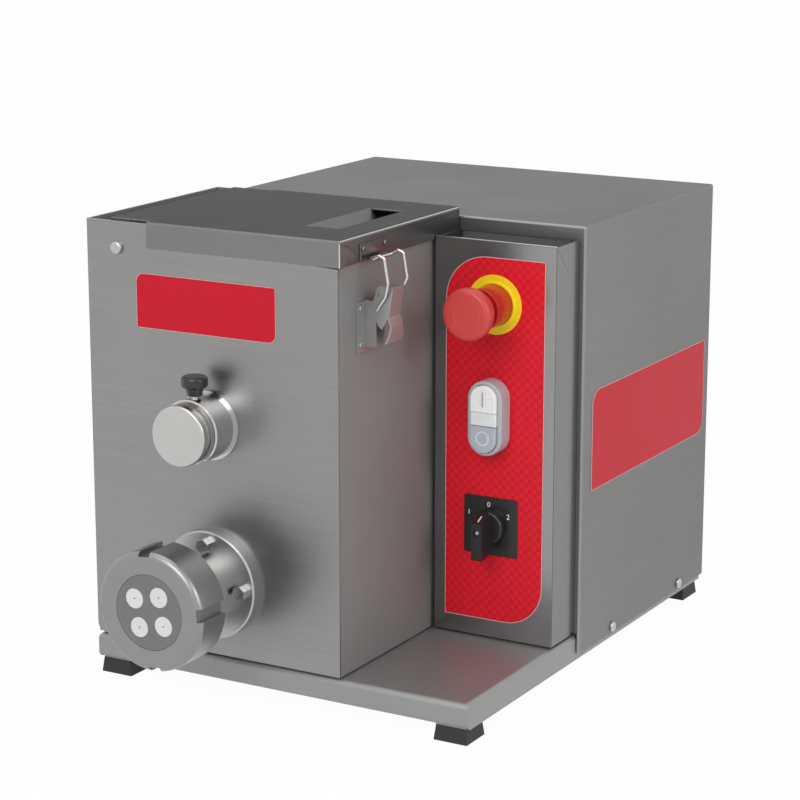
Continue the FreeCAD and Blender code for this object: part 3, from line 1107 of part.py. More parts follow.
def dual_button():
    """Make the oval housing with its start and stop buttons and the lamp lens between them."""
    front = PANEL_FACE - DUAL_BODY_T
    bezel = stadium(DUAL_WIDTH, DUAL_HEIGHT, DUAL_BODY_T, DUAL_X, front, DUAL_Z)
    rim = [e for e in bezel.Edges if near(e.BoundBox.YMax, front)]
    bezel = bezel.makeFillet(1.6, rim)
    well = stadium(DUAL_WELL_WIDTH, DUAL_WELL_HEIGHT, DUAL_WELL_DEPTH + 1, DUAL_X, front - 1, DUAL_Z)
    bezel = bezel.cut(well)
    flat = DUAL_HEIGHT / 2 - DUAL_WIDTH / 2
    for side in (-1, 1):
        z = DUAL_Z + side * flat
        neck = rod_y(DUAL_X, z, CONTROL_HOLE_R - 2, PANEL_FACE, BOX_FRONT + SHEET + 2)
        bezel = bezel.fuse(neck).cut(rod_y(DUAL_X, z, 4 + SHAFT_FIT, front, BOX_FRONT + 10))
    save("button_bezel", bezel.removeSplitter())

    floor = front + DUAL_WELL_DEPTH
    button_front = floor - DUAL_BUTTON_T
    button_back = floor - DUAL_TRAVEL - SHEET_GAP
    pill = stadium(DUAL_WELL_WIDTH - 2 * DUAL_FIT, DUAL_WELL_HEIGHT - 2 * DUAL_FIT,
                   button_back - button_front, DUAL_X, button_front, DUAL_Z)
    pill = pill.makeFillet(1.0, [e for e in pill.Edges if near(e.BoundBox.YMax, button_front)])
    half_lens = DUAL_LENS_HEIGHT / 2
    gap = DUAL_FIT
    far = DUAL_HEIGHT
    for name, side in (("start_button", 1), ("stop_button", -1)):
        z0, z1 = sorted((DUAL_Z + side * (half_lens + gap), DUAL_Z + side * far))
        cap = pill.common(block(DUAL_X - far, DUAL_X + far, button_front - 1, button_back + 1, z0, z1))
        stem = rod_y(DUAL_X, DUAL_Z + side * flat, 4, button_back - 1, BOX_FRONT + SHEET + 2)
        save(name, cap.fuse(stem).removeSplitter())
    lens = block(DUAL_X - DUAL_WELL_WIDTH / 2 + gap, DUAL_X + DUAL_WELL_WIDTH / 2 - gap,
                 button_front + 0.8, floor, DUAL_Z - half_lens, DUAL_Z + half_lens)
    save("pilot_lens", lens)
    half = CONTACT_BLOCK / 2
    y = BOX_FRONT + SHEET + 2 + DUAL_TRAVEL + SHEET_GAP
    contact = block(DUAL_X - half, DUAL_X + half, y, y + CONTACT_BLOCK_T - 6,
                    DUAL_Z - DUAL_HEIGHT / 2, DUAL_Z + DUAL_HEIGHT / 2)
    stand = block(DUAL_X - half, DUAL_X + half, BOX_FRONT + SHEET, y, DUAL_Z - 4, DUAL_Z + 4)
    return contact.fuse(stand).removeSplitter()


def selector():
    """Make the three-way switch: number plate, knob with its bar, cap and switch body."""
    half = SELECTOR_PLATE / 2
    plate = rounded_plate(SELECTOR_PLATE, SELECTOR_PLATE, SELECTOR_PLATE_T, (2, 2, 2, 2))
    plate.translate(V(SELECTOR_X - half, PANEL_FACE - SELECTOR_PLATE_T, SELECTOR_Z - half))
    front = PANEL_FACE - SELECTOR_PLATE_T
    plate = plate.cut(rod_y(SELECTOR_X, SELECTOR_Z, SPINDLE_R + 1, front - 1, PANEL_FACE + 1))
    save("selector_plate", plate)
    disc_front = front - SELECTOR_DISC_T
    disc_back = front - SHEET_GAP
    disc = rod_y(SELECTOR_X, SELECTOR_Z, SELECTOR_DISC_R, disc_front, disc_back)
    disc = disc.makeFillet(1.5, [e for e in disc.Edges if near(e.BoundBox.YMax, disc_front)])
    bar_front = disc_front - SELECTOR_BAR_T
    low = SELECTOR_Z - SELECTOR_TAIL
    side = [(bar_front, low + SELECTOR_TAIL_ROUND), (bar_front, SELECTOR_Z + SELECTOR_NOSE_FRONT),
            (bar_front + SELECTOR_NOSE_DEPTH, SELECTOR_Z + SELECTOR_NOSE_BACK),
            (disc_front + 1, SELECTOR_Z + SELECTOR_DISC_R * 0.8),
            (disc_front + 1, SELECTOR_Z - SELECTOR_DISC_R * 0.8),
            (bar_front + SELECTOR_TAIL_DEPTH, low + SELECTOR_TAIL_ROUND),
            (bar_front + SELECTOR_TAIL_ROUND, low)]
    ring = [V(SELECTOR_X - SELECTOR_BAR_WIDTH / 2, y, z) for y, z in side]
    bar = Part.Face(Part.makePolygon(ring + ring[:1])).extrude(V(SELECTOR_BAR_WIDTH, 0, 0))
    knob = disc.fuse(bar)
    spindle_back = BOX_FRONT + SHEET + 3
    well_back = bar_front + SELECTOR_WELL_DEPTH
    well = rod_y(SELECTOR_X, SELECTOR_Z, SELECTOR_WELL_R, bar_front - 1, well_back)
    seat = rod_y(SELECTOR_X, SELECTOR_Z, SELECTOR_CAP_R, bar_front, well_back + 1)
    knob = knob.cut(well).cut(seat).cut(rod_y(SELECTOR_X, SELECTOR_Z, SPINDLE_R, disc_front, disc_back + 1))
    save("selector_knob", knob.removeSplitter())
    cap_front = bar_front + SELECTOR_WELL_DEPTH / 2
    save("selector_cap", rod_y(SELECTOR_X, SELECTOR_Z, SELECTOR_CAP_R, cap_front, well_back + 1))
    save("selector_spindle", rod_y(SELECTOR_X, SELECTOR_Z, SPINDLE_R, disc_front, spindle_back))
    half = SELECTOR_SWITCH / 2
    body = block(SELECTOR_X - half, SELECTOR_X + half, BOX_FRONT + SHEET, BOX_FRONT + SHEET + SELECTOR_SWITCH_T,
                 SELECTOR_Z - half, SELECTOR_Z + half)
    bore = rod_y(SELECTOR_X, SELECTOR_Z, SPINDLE_R + SHAFT_FIT, BOX_FRONT, spindle_back + 0.5)
    return body.cut(bore)


def labels():
    """Make the two plain name plates."""
    front = rounded_plate(FRONT_LABEL_W, FRONT_LABEL_H, LABEL_T, (1, FRONT_LABEL_R, 1, FRONT_LABEL_R))
    front.translate(V(FRONT_LABEL_X, -LABEL_T, FRONT_LABEL_Z))
    side = rounded_plate(SIDE_LABEL_W, SIDE_LABEL_H, LABEL_T, (1, SIDE_LABEL_R, 1, SIDE_LABEL_R))
    side.rotate(V(0, 0, 0), Z_AXIS, 90)
    side.translate(V(HOUSING_RIGHT + LABEL_T, SIDE_LABEL_Y, SIDE_LABEL_Z))
    save("front_label", front)
    save("side_label", side)


def gland():
    """Make the inlet gland in the back of the cover."""
    nut_back = HOUSING_BACK + GLAND_NUT_T
    inside = HOUSING_BACK - HOUSING_SHEET
    nut = hexagon_y(GLAND_X, GLAND_Z, GLAND_R, HOUSING_BACK, nut_back)
    dome = Part.makeCone(GLAND_DOME_R, GLAND_NECK_R, REAR_Y - nut_back, V(GLAND_X, nut_back, GLAND_Z), Y_AXIS)
    body = rod_y(GLAND_X, GLAND_Z, GLAND_NECK_R, inside - GLAND_NUT_T, HOUSING_BACK + 1)
    lock = hexagon_y(GLAND_X, GLAND_Z, GLAND_R, inside - GLAND_NUT_T + 1, inside)
    whole = nut.fuse([dome, body, lock]).removeSplitter()
    save("cable_gland", whole.cut(rod_y(GLAND_X, GLAND_Z, GLAND_BORE_R, inside - 2 * GLAND_NUT_T, REAR_Y + 1)))


def controls():
    """Make the three controls and keep their switch bodies as one group."""
    save("switch_bodies", estop(), dual_button(), selector())


for build in (base_tray, feet, tank, lid, lid_catch, latch, mixer_bearing, mixer, extruder, auger, housing,
              gear_frame, drive, control_box, controls, labels, gland):
    build()

for node_name, node_shape in NODES.items():
    node_shape.exportStep("parts/" + node_name + ".step")
    state = "" if node_shape.isValid() else "  INVALID"
    print(node_name, len(node_shape.Solids), round(node_shape.Volume), state)
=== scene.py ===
"""Looks of the table-top pasta mixer and extruder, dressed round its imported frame."""

from __future__ import annotations

import json
import logging
import math
from dataclasses import dataclass
from enum import Enum
from typing import Any, Callable, Iterable, Sequence, Union

import bpy
from mathutils import Euler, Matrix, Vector


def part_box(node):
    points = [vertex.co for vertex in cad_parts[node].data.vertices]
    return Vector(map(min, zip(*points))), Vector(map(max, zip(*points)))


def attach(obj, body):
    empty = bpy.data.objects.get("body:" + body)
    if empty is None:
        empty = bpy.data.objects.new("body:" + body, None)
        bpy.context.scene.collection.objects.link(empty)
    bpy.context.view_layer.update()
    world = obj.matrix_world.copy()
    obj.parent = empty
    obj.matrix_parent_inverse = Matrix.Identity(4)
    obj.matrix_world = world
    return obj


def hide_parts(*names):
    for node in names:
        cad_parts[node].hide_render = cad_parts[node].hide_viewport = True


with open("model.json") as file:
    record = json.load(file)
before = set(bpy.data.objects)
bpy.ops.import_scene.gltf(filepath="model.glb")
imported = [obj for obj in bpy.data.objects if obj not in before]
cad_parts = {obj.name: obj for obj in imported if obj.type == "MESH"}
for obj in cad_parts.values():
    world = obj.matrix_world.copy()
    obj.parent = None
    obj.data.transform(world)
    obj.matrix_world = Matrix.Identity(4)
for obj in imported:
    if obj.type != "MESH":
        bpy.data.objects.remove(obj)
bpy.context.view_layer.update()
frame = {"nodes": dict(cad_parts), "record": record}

log = logging.getLogger("pasta_maker")

MM = 0.001
CENTRE_X = 173.25
CENTRE_Y = 183.75
Point = tuple[float, float]
Colour = tuple[float, float, float]


def at(x: float, y: float, z: float) -> Vector:
    """Turn machine millimetres into a point of the frame in metres."""
    return Vector(((x - CENTRE_X) * MM, (y - CENTRE_Y) * MM, z * MM))


class Grain(Enum):
    """The way the brush marks run over a sheet, as noise scales along X, Y and Z."""

    LEVEL = (14.0, 14.0, 2600.0)
    UPRIGHT = (2600.0, 2600.0, 14.0)
    TO_THE_BACK = (2600.0, 14.0, 2600.0)
    ACROSS = (14.0, 2600.0, 2600.0)


class Link:
    """A shader socket that takes part in Python expressions."""

    def __init__(self, tree: bpy.types.NodeTree, socket: bpy.types.NodeSocket) -> None:
        """Keep the node tree and the output socket."""
        self.tree = tree
        self.socket = socket

    def _math(self, operation: str, first: Value, second: Value) -> Link:
        """Add one Math node.

        Args:
            operation: The Math node's operation.
            first: Its first value.
            second: Its second value.

        Returns:
            The node's result.
        """
        return Graph(self.tree).add("ShaderNodeMath", {"operation": operation}, {0: first, 1: second})

    def __add__(self, other: Value) -> Link:
        """Add a value."""
        return self._math("ADD", self, other)

    __radd__ = __add__

    def __sub__(self, other: Value) -> Link:
        """Take a value away."""
        return self._math("SUBTRACT", self, other)

    def __rsub__(self, other: Value) -> Link:
        """Take this away from a value."""
        return self._math("SUBTRACT", other, self)

    def __mul__(self, other: Value) -> Link:
        """Multiply by a value."""
        return self._math("MULTIPLY", self, other)

    __rmul__ = __mul__

    def __pow__(self, other: Value) -> Link:
        """Raise to a power."""
        return self._math("POWER", self, other)


Value = Union[Link, float, Sequence[float]]


class Graph:
    """The node tree of one material, filled by plain method calls."""

    def __init__(self, tree: bpy.types.NodeTree) -> None:
        """Keep the tree that the nodes go into."""
        self.tree = tree

    def add(self, kind: str, settings: dict[str, Any] | None = None,
            values: dict[int | str, Value] | None = None, output: int | str = 0) -> Link:
        """Add a node.

        Args:
            kind: The node's type.
            settings: Its own settings, with a ramp's stops under "stops".
            values: Numbers or links for its sockets.
            output: The output to hand back.

        Returns:
            That output as a link.
        """
        node = self.tree.nodes.new(kind)
        for name, value in (settings or {}).items():
            if name == "stops":
                self._stops(node.color_ramp.elements, value)
            else:
                setattr(node, name, value)
        for name, value in (values or {}).items():
            if isinstance(value, Link):
                self.tree.links.new(value.socket, node.inputs[name])
            else:
                node.inputs[name].default_value = value
        return Link(self.tree, node.outputs[output])

    @staticmethod
    def _stops(elements: bpy.types.ColorRampElements, stops: Sequence[tuple[float, Colour]]) -> None:
        """Set a ramp's stops."""
        while len(elements) < len(stops):
            elements.new(1.0)
        for element, (place, colour) in zip(elements, stops):
            element.position = place
            element.color = (*colour, 1.0)

    def place(self) -> Link:
        """Give the object coordinates in metres."""
        return self.add("ShaderNodeTexCoord", output="Object")

    def scaled(self, scale: Sequence[float], turn: Sequence[float] = (0.0, 0.0, 0.0),
               offset: Sequence[float] = (0.0, 0.0, 0.0)) -> Link:
        """Give object coordinates after a mapping."""
        return self.add("ShaderNodeMapping", None, {"Vector": self.place(), "Scale": scale,
                                                    "Rotation": turn, "Location": offset})

    def noise(self, where: Link, scale: float, detail: float = 3.0, rough: float = 0.5) -> Link:
        """Give a noise between 0 and 1."""
        return self.add("ShaderNodeTexNoise", None, {"Vector": where, "Scale": scale, "Detail": detail,
                                                     "Roughness": rough})

    def blend(self, share: Value, first: Value, second: Value) -> Link:
        """Mix two colours."""
        return self.add("ShaderNodeMix", {"data_type": "RGBA"}, {0: share, 6: first, 7: second}, 2)

    def spread(self, value: Link, low: float, high: float) -> Link:
        """Stretch a 0 to 1 value over a range."""
        return value * (high - low) + low

    def bump(self, height: Link, strength: float, distance: float) -> Link:
        """Give a bumped normal."""
        return self.add("ShaderNodeBump", None, {"Height": height, "Strength": strength,
                                                 "Distance": distance})


def shade(colour: Colour, factor: float) -> tuple[float, float, float, float]:
    """Scale a colour and give it an alpha of 1."""
    return (*(min(1.0, c * factor) for c in colour), 1.0)


@dataclass(frozen=True)
class Finish:
    """One finish: a name, its colour and how glossy it is."""

    name: str
    colour: Colour
    roughness: float

    def build(self) -> bpy.types.Material:
        """Make the material once and hand it back after that."""
        found = bpy.data.materials.get(self.name)
        if found is not None:
            return found
        material = bpy.data.materials.new(self.name)
        material.use_nodes = True
        tree = material.node_tree
        shader = tree.nodes["Principled BSDF"]
        self.wire(Graph(tree), shader)
        return material

    def wire(self, graph: Graph, shader: bpy.types.Node) -> None:
        """Join the finish's nodes to the shader."""
        raise NotImplementedError

    @staticmethod
    def join(shader: bpy.types.Node, **links: Value) -> None:
        """Set or link the shader's sockets, an underscore standing for a space.

        Args:
            shader: The shader node.
            links: Values or links by socket name.
        """
        for name, value in links.items():
            socket = shader.inputs[name.replace("_", " ")]
            if isinstance(value, Link):
                value.tree.links.new(value.socket, socket)
            else:
                socket.default_value = value


@dataclass(frozen=True)
class BrushedSheet(Finish):
    """Stainless sheet with straight brush marks, soft clouding and faint smears."""

    grain: Grain = Grain.LEVEL
    streak: float = 0.16
    bump: float = 0.10
    metal: float = 1.0
    edge: float = 1.0

    def wire(self, graph: Graph, shader: bpy.types.Node) -> None:
        """Join streaks, clouds and smears to the shader."""
        hair = graph.noise(graph.scaled(self.grain.value), 1.0, 2.0, 0.6)
        broad = graph.noise(graph.scaled([s * 0.22 for s in self.grain.value]), 1.0, 3.0, 0.6)
        cloud = graph.noise(graph.place(), 9.0, 3.0, 0.5)
        smear = graph.noise(graph.scaled((30.0, 30.0, 18.0), (0.4, 0.3, 0.2)), 1.0, 4.0, 0.65)
        lines = hair * 0.6 + broad * 0.4
        tone = lines * (2 * self.streak) + cloud * 0.14 + (1 - self.streak - 0.07)
        grey = graph.add("ShaderNodeVectorMath", {"operation": "SCALE"},
                         {0: self.colour, "Scale": tone})
        rough = lines * 0.10 + smear * 0.08 + (self.roughness - 0.09)
        normal = graph.bump(lines, self.bump, 0.0003)
        self.join(shader, Base_Color=grey, Roughness=rough, Normal=normal, Metallic=self.metal,
                  Specular_Tint=shade((1.0, 1.0, 1.0), self.edge))


@dataclass(frozen=True)
class PolishedMetal(Finish):
    """Bright metal with faint wipe marks and a slow ripple."""

    ripple: float = 0.05
    edge: float = 1.0
    metal: float = 1.0

    def wire(self, graph: Graph, shader: bpy.types.Node) -> None:
        """Join wipe marks and ripple to the shader."""
        wipe = graph.noise(graph.scaled((60.0, 60.0, 260.0), (0.2, 0.1, 0.0)), 1.0, 4.0, 0.6)
        wave = graph.noise(graph.place(), 14.0, 1.0, 0.4)
        tone = graph.blend(wipe, shade(self.colour, 0.93), shade(self.colour, 1.05))
        rough = wipe * 0.07 + (self.roughness - 0.035)
        self.join(shader, Base_Color=tone, Roughness=rough, Metallic=self.metal,
                  Specular_Tint=shade((1.0, 1.0, 1.0), self.edge),
                  Normal=graph.bump(wave, self.ripple, 0.004))


@dataclass(frozen=True)
class TurnedMetal(Finish):
    """Lathe-turned metal with fine rings round an axis along Y."""

    centre: Point = (113.2, 93.8)
    rings: float = 2400.0
    marks: float = 0.22

    def wire(self, graph: Graph, shader: bpy.types.Node) -> None:
        """Join ring marks to the shader."""
        middle = at(self.centre[0], 0.0, self.centre[1])
        split = graph.add("ShaderNodeSeparateXYZ", None, {0: graph.place()})
        height = Link(split.tree, split.socket.node.outputs[2])
        depth = Link(split.tree, split.socket.node.outputs[1])
        across = (split - middle.x) ** 2.0 + (height - middle.z) ** 2.0
        radius = across ** 0.5
        spot = graph.add("ShaderNodeCombineXYZ", None, {0: radius * self.rings, 1: depth * self.rings})
        marks = graph.noise(spot, 1.0, 2.0, 0.6)
        cloud = graph.noise(graph.place(), 60.0, 3.0, 0.5)
        tone = marks * self.marks + cloud * 0.12 + (0.94 - self.marks / 2)
        grey = graph.add("ShaderNodeVectorMath", {"operation": "SCALE"}, {0: self.colour, "Scale": tone})
        rough = marks * 0.10 + cloud * 0.06 + (self.roughness - 0.08)
        self.join(shader, Base_Color=grey, Roughness=rough, Metallic=1.0,
                  Normal=graph.bump(marks, 0.12, 0.0002))


@dataclass(frozen=True)
class Moulded(Finish):
    """Moulded plastic or rubber with a fine surface and slight handling marks."""

    grainy: float = 0.08
    coat: float = 0.0
    translucent: float = 0.0

    def wire(self, graph: Graph, shader: bpy.types.Node) -> None:
        """Join the fine surface to the shader."""
        fine = graph.noise(graph.place(), 2400.0, 2.0, 0.6)
        worn = graph.noise(graph.place(), 120.0, 4.0, 0.6)
        tone = graph.blend(worn, shade(self.colour, 0.90), shade(self.colour, 1.08))
        rough = worn * 0.12 + (self.roughness - 0.06)
        self.join(shader, Base_Color=tone, Roughness=rough, Coat_Weight=self.coat,
                  Subsurface_Weight=self.translucent, Subsurface_Scale=0.004,
                  Normal=graph.bump(fine, self.grainy, 0.0001))


@dataclass(frozen=True)
class CheckedFilm(Finish):
    """Printed film with a faint check of two reds seen in the XZ plane."""

    check: float = 3.9
    contrast: float = 0.22

    def wire(self, graph: Graph, shader: bpy.types.Node) -> None:
        """Join the printed check to the shader."""
        squares = graph.add("ShaderNodeTexChecker", None,
                            {"Vector": graph.scaled((1.0, 0.0, 1.0), offset=(0.0, 0.5, 0.0)),
                             "Scale": 1.0 / (self.check * MM),
                             "Color1": shade(self.colour, 1.0),
                             "Color2": shade(self.colour, 1.0 - self.contrast)})
        cloud = graph.noise(graph.place(), 40.0, 3.0, 0.5)
        tint = graph.blend(cloud * 0.25, squares, shade(self.colour, 1.15))
        fine = graph.noise(graph.place(), 1800.0, 1.0, 0.5)
        self.join(shader, Base_Color=tint, Roughness=cloud * 0.1 + (self.roughness - 0.05),
                  Specular_IOR_Level=0.2, Normal=graph.bump(fine, 0.04, 0.0001))


class Palette:
    """Every finish of the machine, by its own plain name, and the colours of the strips that stand as painted
    highlights and painted shadow.
    """

    front_sheet = BrushedSheet("brushed front sheet", (0.30, 0.297, 0.295), 0.36, Grain.LEVEL)
    wall_sheet = BrushedSheet("brushed wall sheet", (0.25, 0.248, 0.246),
                              0.55, Grain.UPRIGHT, metal=0.35, edge=0.6)
    # The lid sheet's base colour is darker than the front sheet's, partly as painted shade on the lid's top;
    # its grain running to the back is its own.
    lid_sheet_with_painted_shade = BrushedSheet("brushed lid sheet with painted shade", (0.225, 0.222, 0.22),
                             0.34, Grain.TO_THE_BACK, edge=0.25)
    cover_sheet = BrushedSheet("brushed cover sheet", (0.31, 0.307, 0.304), 0.34, Grain.LEVEL, edge=0.42)
    tray_sheet = BrushedSheet("brushed tray sheet", (0.31, 0.308, 0.306),
                              0.42, Grain.ACROSS, 0.10, 0.05, metal=0.6)
    inner_sheet = BrushedSheet("inner sheet", (0.34, 0.335, 0.33), 0.38, Grain.LEVEL)
    panel_steel = PolishedMetal("polished panel steel", (0.32, 0.317, 0.315), 0.24, 0.03, 0.4)
    # Bright steel is the latch bail's own colour, and also the colour of the strips that stand as painted
    # highlights on the lid and the control box.
    bright_steel_and_painted_glints = PolishedMetal("bright steel and painted glints", (0.62, 0.615, 0.61), 0.14, 0.05)
    latch_steel = PolishedMetal("latch steel", (0.38, 0.378, 0.376), 0.34, 0.05, 0.7, 0.65)
    plated_steel = PolishedMetal("plated steel", (0.50, 0.50, 0.50), 0.26, 0.05)
    cap_steel = TurnedMetal("turned cap steel", (0.54, 0.535, 0.525), 0.30, (113.2, 221.8), 1600.0)
    collar_steel = TurnedMetal("turned collar steel", (0.56, 0.555, 0.55), 0.18, (113.2, 221.8), 2600.0)
    barrel_steel = TurnedMetal("turned barrel steel", (0.46, 0.456, 0.452), 0.32, marks=0.08)
    nut_alloy = TurnedMetal("turned nut alloy", (0.30, 0.298, 0.295), 0.36)
    die_alloy = TurnedMetal("turned die alloy", (0.21, 0.209, 0.207), 0.42)
    gear_steel = TurnedMetal("machined gear steel", (0.30, 0.30, 0.31), 0.42)
    frame_paint = Moulded("frame paint", (0.10, 0.105, 0.11), 0.45, 0.10)
    motor_paint = Moulded("motor paint", (0.04, 0.06, 0.10), 0.40, 0.12)
    bronze = TurnedMetal("bronze", (0.52, 0.33, 0.15), 0.30, (113.2, 221.8))
    rubber = Moulded("black rubber", (0.016, 0.016, 0.017), 0.62, 0.18)
    belt_rubber = Moulded("belt rubber", (0.02, 0.02, 0.02), 0.70, 0.25)
    knob_black = Moulded("black moulding", (0.013, 0.013, 0.014), 0.34, 0.06, 0.2)
    plate_black = Moulded("black plate", (0.012, 0.012, 0.013), 0.34, 0.05, 0.2)
    stop_red = Moulded("stop head red", (0.58, 0.045, 0.038), 0.42, 0.04, 0.1)
    collar_red = Moulded("stop collar red", (0.48, 0.016, 0.016), 0.34, 0.04, 0.2)
    ring_yellow = Moulded("ring yellow", (0.95, 0.72, 0.008), 0.42, 0.04, 0.1)
    button_white = Moulded("button white", (0.88, 0.88, 0.87), 0.30, 0.03, 0.4, 0.1)
    button_grey = Moulded("button grey", (0.44, 0.48, 0.52), 0.30, 0.03, 0.4)
    bezel_grey = Moulded("bezel grey", (0.44, 0.44, 0.47), 0.34, 0.05, 0.1)
    lens_grey = Moulded("lens grey", (0.80, 0.81, 0.81), 0.25, 0.03, 0.5, 0.1)
    insert_white = Moulded("insert white", (0.72, 0.72, 0.71), 0.36, 0.04, 0.2, 0.1)
    mark_white = Moulded("printed white", (0.82, 0.82, 0.82), 0.45, 0.03)
    mark_grey = Moulded("printed grey", (0.40, 0.41, 0.42), 0.45, 0.03)
    mark_pale = Moulded("printed pale grey", (0.66, 0.70, 0.74), 0.45, 0.03)
    # A dark colour for the strips that stand as painted shadow in the lid's and the control box's seams.
    painted_seam_shadow = Moulded("seam shadow", (0.03, 0.03, 0.03), 0.60, 0.10)
    decal_red = CheckedFilm("checked decal film", (0.76, 0.012, 0.028), 0.42)
    label_red = CheckedFilm("plain label film", (0.56, 0.006, 0.022), 0.42, 3.9, 0.0)
    film_edge = Moulded("pale film edge", (0.60, 0.50, 0.50), 0.40, 0.03)


class Bench:
    """The modelling steps that the sub-assemblies share."""

    @staticmethod
    def clear() -> None:
        """Leave edit mode and deselect everything."""
        if bpy.context.object and bpy.context.object.mode != "OBJECT":
            bpy.ops.object.mode_set(mode="OBJECT")
        bpy.ops.object.select_all(action="DESELECT")

    @classmethod
    def take(cls, piece: bpy.types.Object) -> None:
        """Select one object alone and make it active."""
        cls.clear()
        piece.select_set(True)
        bpy.context.view_layer.objects.active = piece

    @classmethod
    def loop(cls, name: str, points: Sequence[Vector], filled: bool) -> bpy.types.Object:
        """Add a circle and move its corners onto a closed loop of points.

        Args:
            name: The object's name.
            points: The loop's points in metres.
            filled: Whether the loop gets a face.

        Returns:
            The new object, at the origin.
        """
        cls.clear()
        bpy.ops.mesh.primitive_circle_add(vertices=len(points), radius=0.01,
                                          fill_type="NGON" if filled else "NOTHING")
        piece = bpy.context.object
        piece.name = name
        piece.data.name = name
        for vertex, point in zip(piece.data.vertices, points):
            vertex.co = point
        return piece

    @classmethod
    def tidy(cls, piece: bpy.types.Object, merge: float = 1e-6) -> None:
        """Merge doubles and turn the faces outwards."""
        cls.take(piece)
        bpy.ops.object.mode_set(mode="EDIT")
        bpy.ops.mesh.select_all(action="SELECT")
        bpy.ops.mesh.remove_doubles(threshold=merge)
        bpy.ops.mesh.normals_make_consistent(inside=False)
        bpy.ops.object.mode_set(mode="OBJECT")

    @classmethod
    def extruded(cls, name: str, points: Sequence[Vector], push: Vector,
                 bevel: float = 0.0, segments: int = 2) -> bpy.types.Object:
        """Extrude a filled outline and round its edges.

        Args:
            name: The object's name.
            points: The outline.
            push: The extrusion.
            bevel: The rounding in metres, or 0 for none.
            segments: Steps of the rounding.

        Returns:
            The finished solid.
        """
        piece = cls.loop(name, points, True)
        cls.take(piece)
        bpy.ops.object.mode_set(mode="EDIT")
        bpy.ops.mesh.select_all(action="SELECT")
        bpy.ops.mesh.extrude_region_move(TRANSFORM_OT_translate={"value": push})
        bpy.ops.object.mode_set(mode="OBJECT")
        cls.tidy(piece)
        cls.round_edges(piece, bevel, segments)
        return piece

    @classmethod
    def turned(cls, name: str, profile: Sequence[Point], centre: Point, steps: int = 72,
               bevel: float = 0.0, segments: int = 2) -> bpy.types.Object:
        """Spin a closed profile about an axis along Y.

        Args:
            name: The object's name.
            profile: Corners as radius and Y, in machine millimetres.
            centre: The axis as X and Z, in machine millimetres.
            steps: Steps round the circle.
            bevel: The rounding in metres, or 0 for none.
            segments: Steps of the rounding.

        Returns:
            The finished solid.
        """
        x, z = centre
        piece = cls.loop(name, [at(x + r, y, z) for r, y in profile], False)
        cls.take(piece)
        bpy.ops.object.mode_set(mode="EDIT")
        bpy.ops.mesh.select_all(action="SELECT")
        bpy.ops.mesh.spin(steps=steps, angle=2 * math.pi, center=at(x, 0.0, z), axis=(0.0, 1.0, 0.0))
        bpy.ops.object.mode_set(mode="OBJECT")
        cls.tidy(piece)
        cls.round_edges(piece, bevel, segments)
        return piece

    @classmethod
    def round_edges(cls, piece: bpy.types.Object, width: float, segments: int = 2,
                    angle: float = 32.0) -> None:
        """Bevel the sharp edges and smooth the rest."""
        cls.take(piece)
        if width > 0:
            soften = piece.modifiers.new("soft edges", "BEVEL")
            soften.width = width
            soften.segments = segments
            soften.limit_method = "ANGLE"
            soften.angle_limit = math.radians(angle)
            bpy.ops.object.modifier_apply(modifier=soften.name)
        bpy.ops.object.shade_smooth_by_angle(angle=math.radians(angle))
        even = piece.modifiers.new("even normals", "WEIGHTED_NORMAL")
        even.mode = "FACE_AREA"
        even.weight = 100
        even.keep_sharp = True
        bpy.ops.object.modifier_apply(modifier=even.name)

    @classmethod
    def worked_copy(cls, node: str, width: float, segments: int = 2, angle: float = 32.0) -> bpy.types.Object:
        """Copy a CAD node, merge its triangles and round its edges as a press or file would.

        Args:
            node: The CAD node's name.
            width: The rounding in metres.
            segments: Steps of the rounding.
            angle: Edges sharper than this are rounded.

        Returns:
            The copy, to be shown in the node's place.
        """
        cls.take(frame["nodes"][node])
        bpy.ops.object.duplicate()
        piece = bpy.context.object
        piece.name = "worked_" + node
        piece.data.name = piece.name
        piece.data.materials.clear()
        cls.take(piece)
        bpy.ops.object.mode_set(mode="EDIT")
        bpy.ops.mesh.select_all(action="SELECT")
        bpy.ops.mesh.customdata_custom_splitnormals_clear()
        bpy.ops.mesh.remove_doubles(threshold=1e-6)
        bpy.ops.mesh.dissolve_limited(angle_limit=math.radians(0.4))
        bpy.ops.object.mode_set(mode="OBJECT")
        cls.round_edges(piece, width, segments, angle)
        return piece

    @classmethod
    def joined(cls, name: str, pieces: Sequence[bpy.types.Object]) -> bpy.types.Object:
        """Join several meshes into the first one."""
        cls.clear()
        for piece in pieces:
            piece.select_set(True)
        bpy.context.view_layer.objects.active = pieces[0]
        bpy.ops.object.join()
        pieces[0].name = name
        return pieces[0]

    @classmethod
    def words(cls, name: str, body: str, size: float, centre: Vector, thick: float) -> bpy.types.Object:
        """Make a plain number that faces the front.

        Args:
            name: The object's name.
            body: The number.
            size: Its height in metres.
            centre: The middle of its back face.
            thick: How far it stands proud.

        Returns:
            The number as a mesh at the origin.
        """
        cls.clear()
        bpy.ops.object.text_add()
        piece = bpy.context.object
        piece.data.body = body
        piece.data.size = size
        piece.data.align_x = "CENTER"
        piece.data.align_y = "CENTER"
        piece.data.extrude = thick / 2
        bpy.ops.object.convert(target="MESH")
        piece = bpy.context.object
        piece.name = name
        piece.rotation_euler = (math.pi / 2, 0.0, 0.0)
        piece.location = centre - Vector((0.0, thick / 2, 0.0))
        cls.take(piece)
        bpy.ops.object.transform_apply(location=True, rotation=True, scale=True)
        return piece


